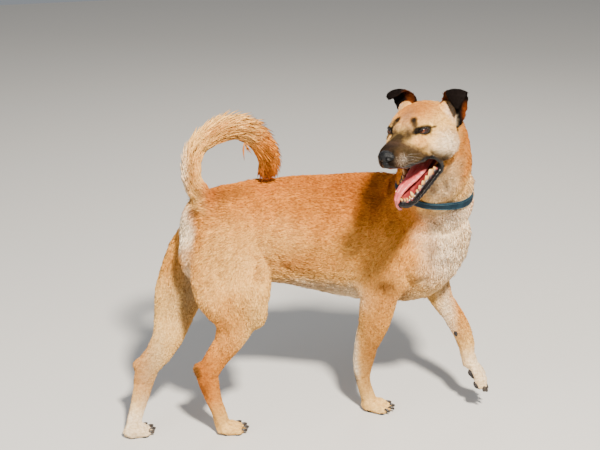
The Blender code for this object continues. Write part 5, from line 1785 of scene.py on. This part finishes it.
def reach_of(level):
    """How far the solid's outer face lies from the collar's middle line, all round."""
    start = collar_centre + collar_axis * level * COLLAR_WIDTH * 0.5
    outer = []
    for way in ways:
        hit = collar_tree.ray_cast(Vector(start + way * 0.3), Vector(-way))
        outer.append(0.3 - hit[3] if hit[0] is not None else np.nan)
    outer = np.array(outer)
    good = ~np.isnan(outer)
    outer = np.interp(np.arange(COLLAR_STEPS), np.flatnonzero(good), outer[good])
    for _ in range(30):
        outer = 0.25 * np.roll(outer, 1) + 0.5 * outer + 0.25 * np.roll(outer, -1)
    return outer


low, high = reach_of(-0.9), reach_of(0.9)
points, faces = [], []
for i in range(COLLAR_STEPS):
    for wide, thick in BAND_SECTION:
        reach = low[i] + (high[i] - low[i]) * (wide + 1) / 2 + COLLAR_THICK * (thick - 0.75)
        points.append(collar_centre + collar_axis * wide * COLLAR_WIDTH * 0.5 + ways[i] * reach)
ring = len(BAND_SECTION)
for i in range(COLLAR_STEPS):
    j = (i + 1) % COLLAR_STEPS
    for k in range(ring):
        m = (k + 1) % ring
        faces.append((i * ring + k, i * ring + m, j * ring + m, j * ring + k))
band = faced_out(make("collar_band", points, faces))
store(band.data, "round", "FLOAT", np.repeat(np.arange(COLLAR_STEPS), ring) / COLLAR_STEPS)
store(band.data, "over", "FLOAT", np.tile([wide for wide, _ in BAND_SECTION], COLLAR_STEPS))

# %% Webbing
band_finish, tree, shader = surface("collar_webbing", Specular_IOR_Level=0.10)
at = place_of(tree)
over = attribute(tree, "over")
rib = vec("DOT_PRODUCT", at, tuple(collar_axis), out="Value") * RIBS
weave = rib.math("SINE", rib) * 0.5 + 0.5
worn = noise(at, 55.0, 4.0)
edge_share = over.math("ABSOLUTE", over).step(0.80, 1.0)
teal = mix(worn.step(0.35, 0.75), (0.003, 0.012, 0.022), (0.008, 0.027, 0.042))
colour = mix(edge_share * 0.5, teal, (0.022, 0.052, 0.070))
feed(shader, Base_Color=mix(weave * 0.25, colour, (0.006, 0.022, 0.036)), Roughness=0.52 + worn * 0.25)
bumped(shader, weave + noise(at, 900.0, 3.0) * 0.8, 0.45, 0.0005)
band.data.materials.append(band_finish)

# %% Stitches
stitch_line = [(-0.5, 0, -0.6, 0.5), (-0.3, 0, 0.2, 0.9), (0.0, 0, 0.5, 1.0), (0.3, 0, 0.2, 0.9),
               (0.5, 0, -0.6, 0.5)]
stitch_form = faced_out(make("stitch_form", *rope(stitch_line, 6)))
stitch_rows = []
STITCHES = 150
for level in (-0.66, 0.66):
    for n in range(STITCHES):
        i = n * COLLAR_STEPS / STITCHES
        reach = np.interp(i, np.arange(COLLAR_STEPS), low + (high - low) * (level + 1) / 2)
        a = 2 * math.pi * n / STITCHES
        way_out = math.cos(a) * across + math.sin(a) * deep_way
        run_way = -math.sin(a) * across + math.cos(a) * deep_way
        on_face = way_out * (reach + COLLAR_THICK * 0.20)
        spot = collar_centre + collar_axis * level * COLLAR_WIDTH * 0.5 + on_face
        stitch_rows.append(row_of(spot, run_way, way_out, (0.0026, 0.00042, 0.00042)))
thread, tree, shader = surface("collar_thread", Specular_IOR_Level=0.3)
tone = noise(place_of(tree), 300.0, 2.0)
colour = mix(tone, (0.020, 0.060, 0.085), (0.060, 0.120, 0.150))
feed(shader, Base_Color=colour, Roughness=0.6 + tone * 0.2)
strewn("collar_stitches", stitch_form, stitch_rows, thread, "collar_teal", ("collar",))

# %% Buckle and ring
nape = int(np.argmax(ways @ np.array(YARD.to_3x3() @ Vector((-0.35, 0.85, 0.35)))))


def collar_frame(step):
    """x along the band, y across it, z out of it, at one step round the collar."""
    out_way = ways[step]
    along_way = np.cross(collar_axis, out_way)
    reach = 0.5 * (low[step] + high[step]) + COLLAR_THICK * 0.35
    columns = np.column_stack([along_way, collar_axis, out_way, collar_centre + out_way * reach])
    return Matrix(np.vstack([columns, (0, 0, 0, 1)]).tolist())


def hoop(matrix, half_long, half_wide, radius, squareness=0.35, around=40):
    """A rounded oblong wire loop lying in x and y."""
    turn = np.linspace(0, 2 * math.pi, around + 1)
    c, s = np.cos(turn), np.sin(turn)
    x = half_long * np.sign(c) * np.abs(c) ** squareness
    y = half_wide * np.sign(s) * np.abs(s) ** squareness
    rows = np.stack([x, y, np.zeros_like(x), np.full_like(x, radius)], axis=1)
    points, faces = rope(rows, 10)
    return moved(points, matrix), faces


buckle = collar_frame(nape)
bar, bar_faces = rope([(0, -0.0135, 0, 0.0013), (0, 0.0135, 0, 0.0013)], 10, up=(1, 0, 0))
prong_line = [(0.0, 0, 0.0008, 0.0011), (0.006, 0, 0.0018, 0.0011), (0.0125, 0, 0.0014, 0.0009)]
prong, prong_faces = rope(prong_line, 8)
ring_at = collar_frame((nape + 14) % COLLAR_STEPS) @ Matrix.Translation((0, 0.004, 0.0006))
metal_work = faced_out(make("collar_buckle", *joined([
    hoop(buckle, 0.0120, 0.0135, 0.0015), (moved(bar, buckle), bar_faces),
    (moved(prong, buckle), prong_faces), hoop(ring_at, 0.0085, 0.0080, 0.0011, 0.9)])))
steel, tree, shader = surface("buckle_steel", Metallic=1.0)
scuff = noise(place_of(tree), 800.0, 4.0)
colour = mix(scuff.step(0.4, 0.7), (0.42, 0.41, 0.39), (0.26, 0.25, 0.24))
feed(shader, Base_Color=colour, Roughness=0.25 + scuff * 0.25)
bumped(shader, scuff, 0.15, 0.0003)
metal_work.data.materials.append(steel)
for piece in (band, metal_work):
    stands_for(piece, "collar_teal", "collar")
    print(piece.name, len(piece.data.polygons), "faces")

# %% [markdown]
# ## Floor, light and camera
#
# A plain pale floor, one small warm lamp for a clear shadow, and two broad weak ones. The camera
# stands a little to the front of the dog's side and looks down on it.

# %% Floor
floor = make("floor", [(-6, -6, 0), (6, -6, 0), (6, 6, 0), (-6, 6, 0)], [(0, 1, 2, 3)])
floor_finish, tree, shader = surface("floor_pale", Base_Color=(0.50, 0.485, 0.46), Roughness=0.9)
floor.data.materials.append(floor_finish)

# %% Light
world = bpy.data.worlds.new("studio")
world.use_nodes = True
world.node_tree.nodes["Background"].inputs["Color"].default_value = (0.84, 0.89, 0.96, 1.0)
world.node_tree.nodes["Background"].inputs["Strength"].default_value = 0.32
bpy.context.scene.world = world


def lamp(name, where, aim, size, power, colour):
    light = bpy.data.lights.new(name, "AREA")
    light.shape = "DISK"
    light.size = size
    light.energy = power
    light.color = colour
    obj = bpy.data.objects.new(name, light)
    bpy.context.scene.collection.objects.link(obj)
    obj.location = YARD @ Vector(where)
    obj.rotation_euler = (Vector(aim) - obj.location).to_track_quat("-Z", "Y").to_euler()


lamp("key", (0.85, -2.75, 3.6), (0.05, 0, 0.4), 0.45, 800.0, (1.0, 0.93, 0.82))
lamp("fill", (-2.6, -1.8, 1.8), (0, 0, 0.4), 2.5, 60.0, (0.86, 0.92, 1.0))
lamp("rim", (0.5, 2.6, 2.4), (0, 0, 0.5), 1.5, 30.0, (1.0, 0.97, 0.92))

# %% Camera
CAMERA_TURN, CAMERA_DIP = math.radians(15.0), math.radians(20.5)
camera = bpy.data.objects.new("camera", bpy.data.cameras.new("camera"))
camera.data.lens = 72.0
camera.data.sensor_width = 36.0
bpy.context.scene.collection.objects.link(camera)
camera.location = YARD @ Vector((0.0, -2.60, 1.45))
aim = Vector((math.sin(CAMERA_TURN) * math.cos(CAMERA_DIP),
              math.cos(CAMERA_TURN) * math.cos(CAMERA_DIP), -math.sin(CAMERA_DIP)))
camera.rotation_euler = aim.to_track_quat("-Z", "Y").to_euler()
bpy.context.scene.camera = camera
print("camera at", [round(x, 2) for x in camera.location])
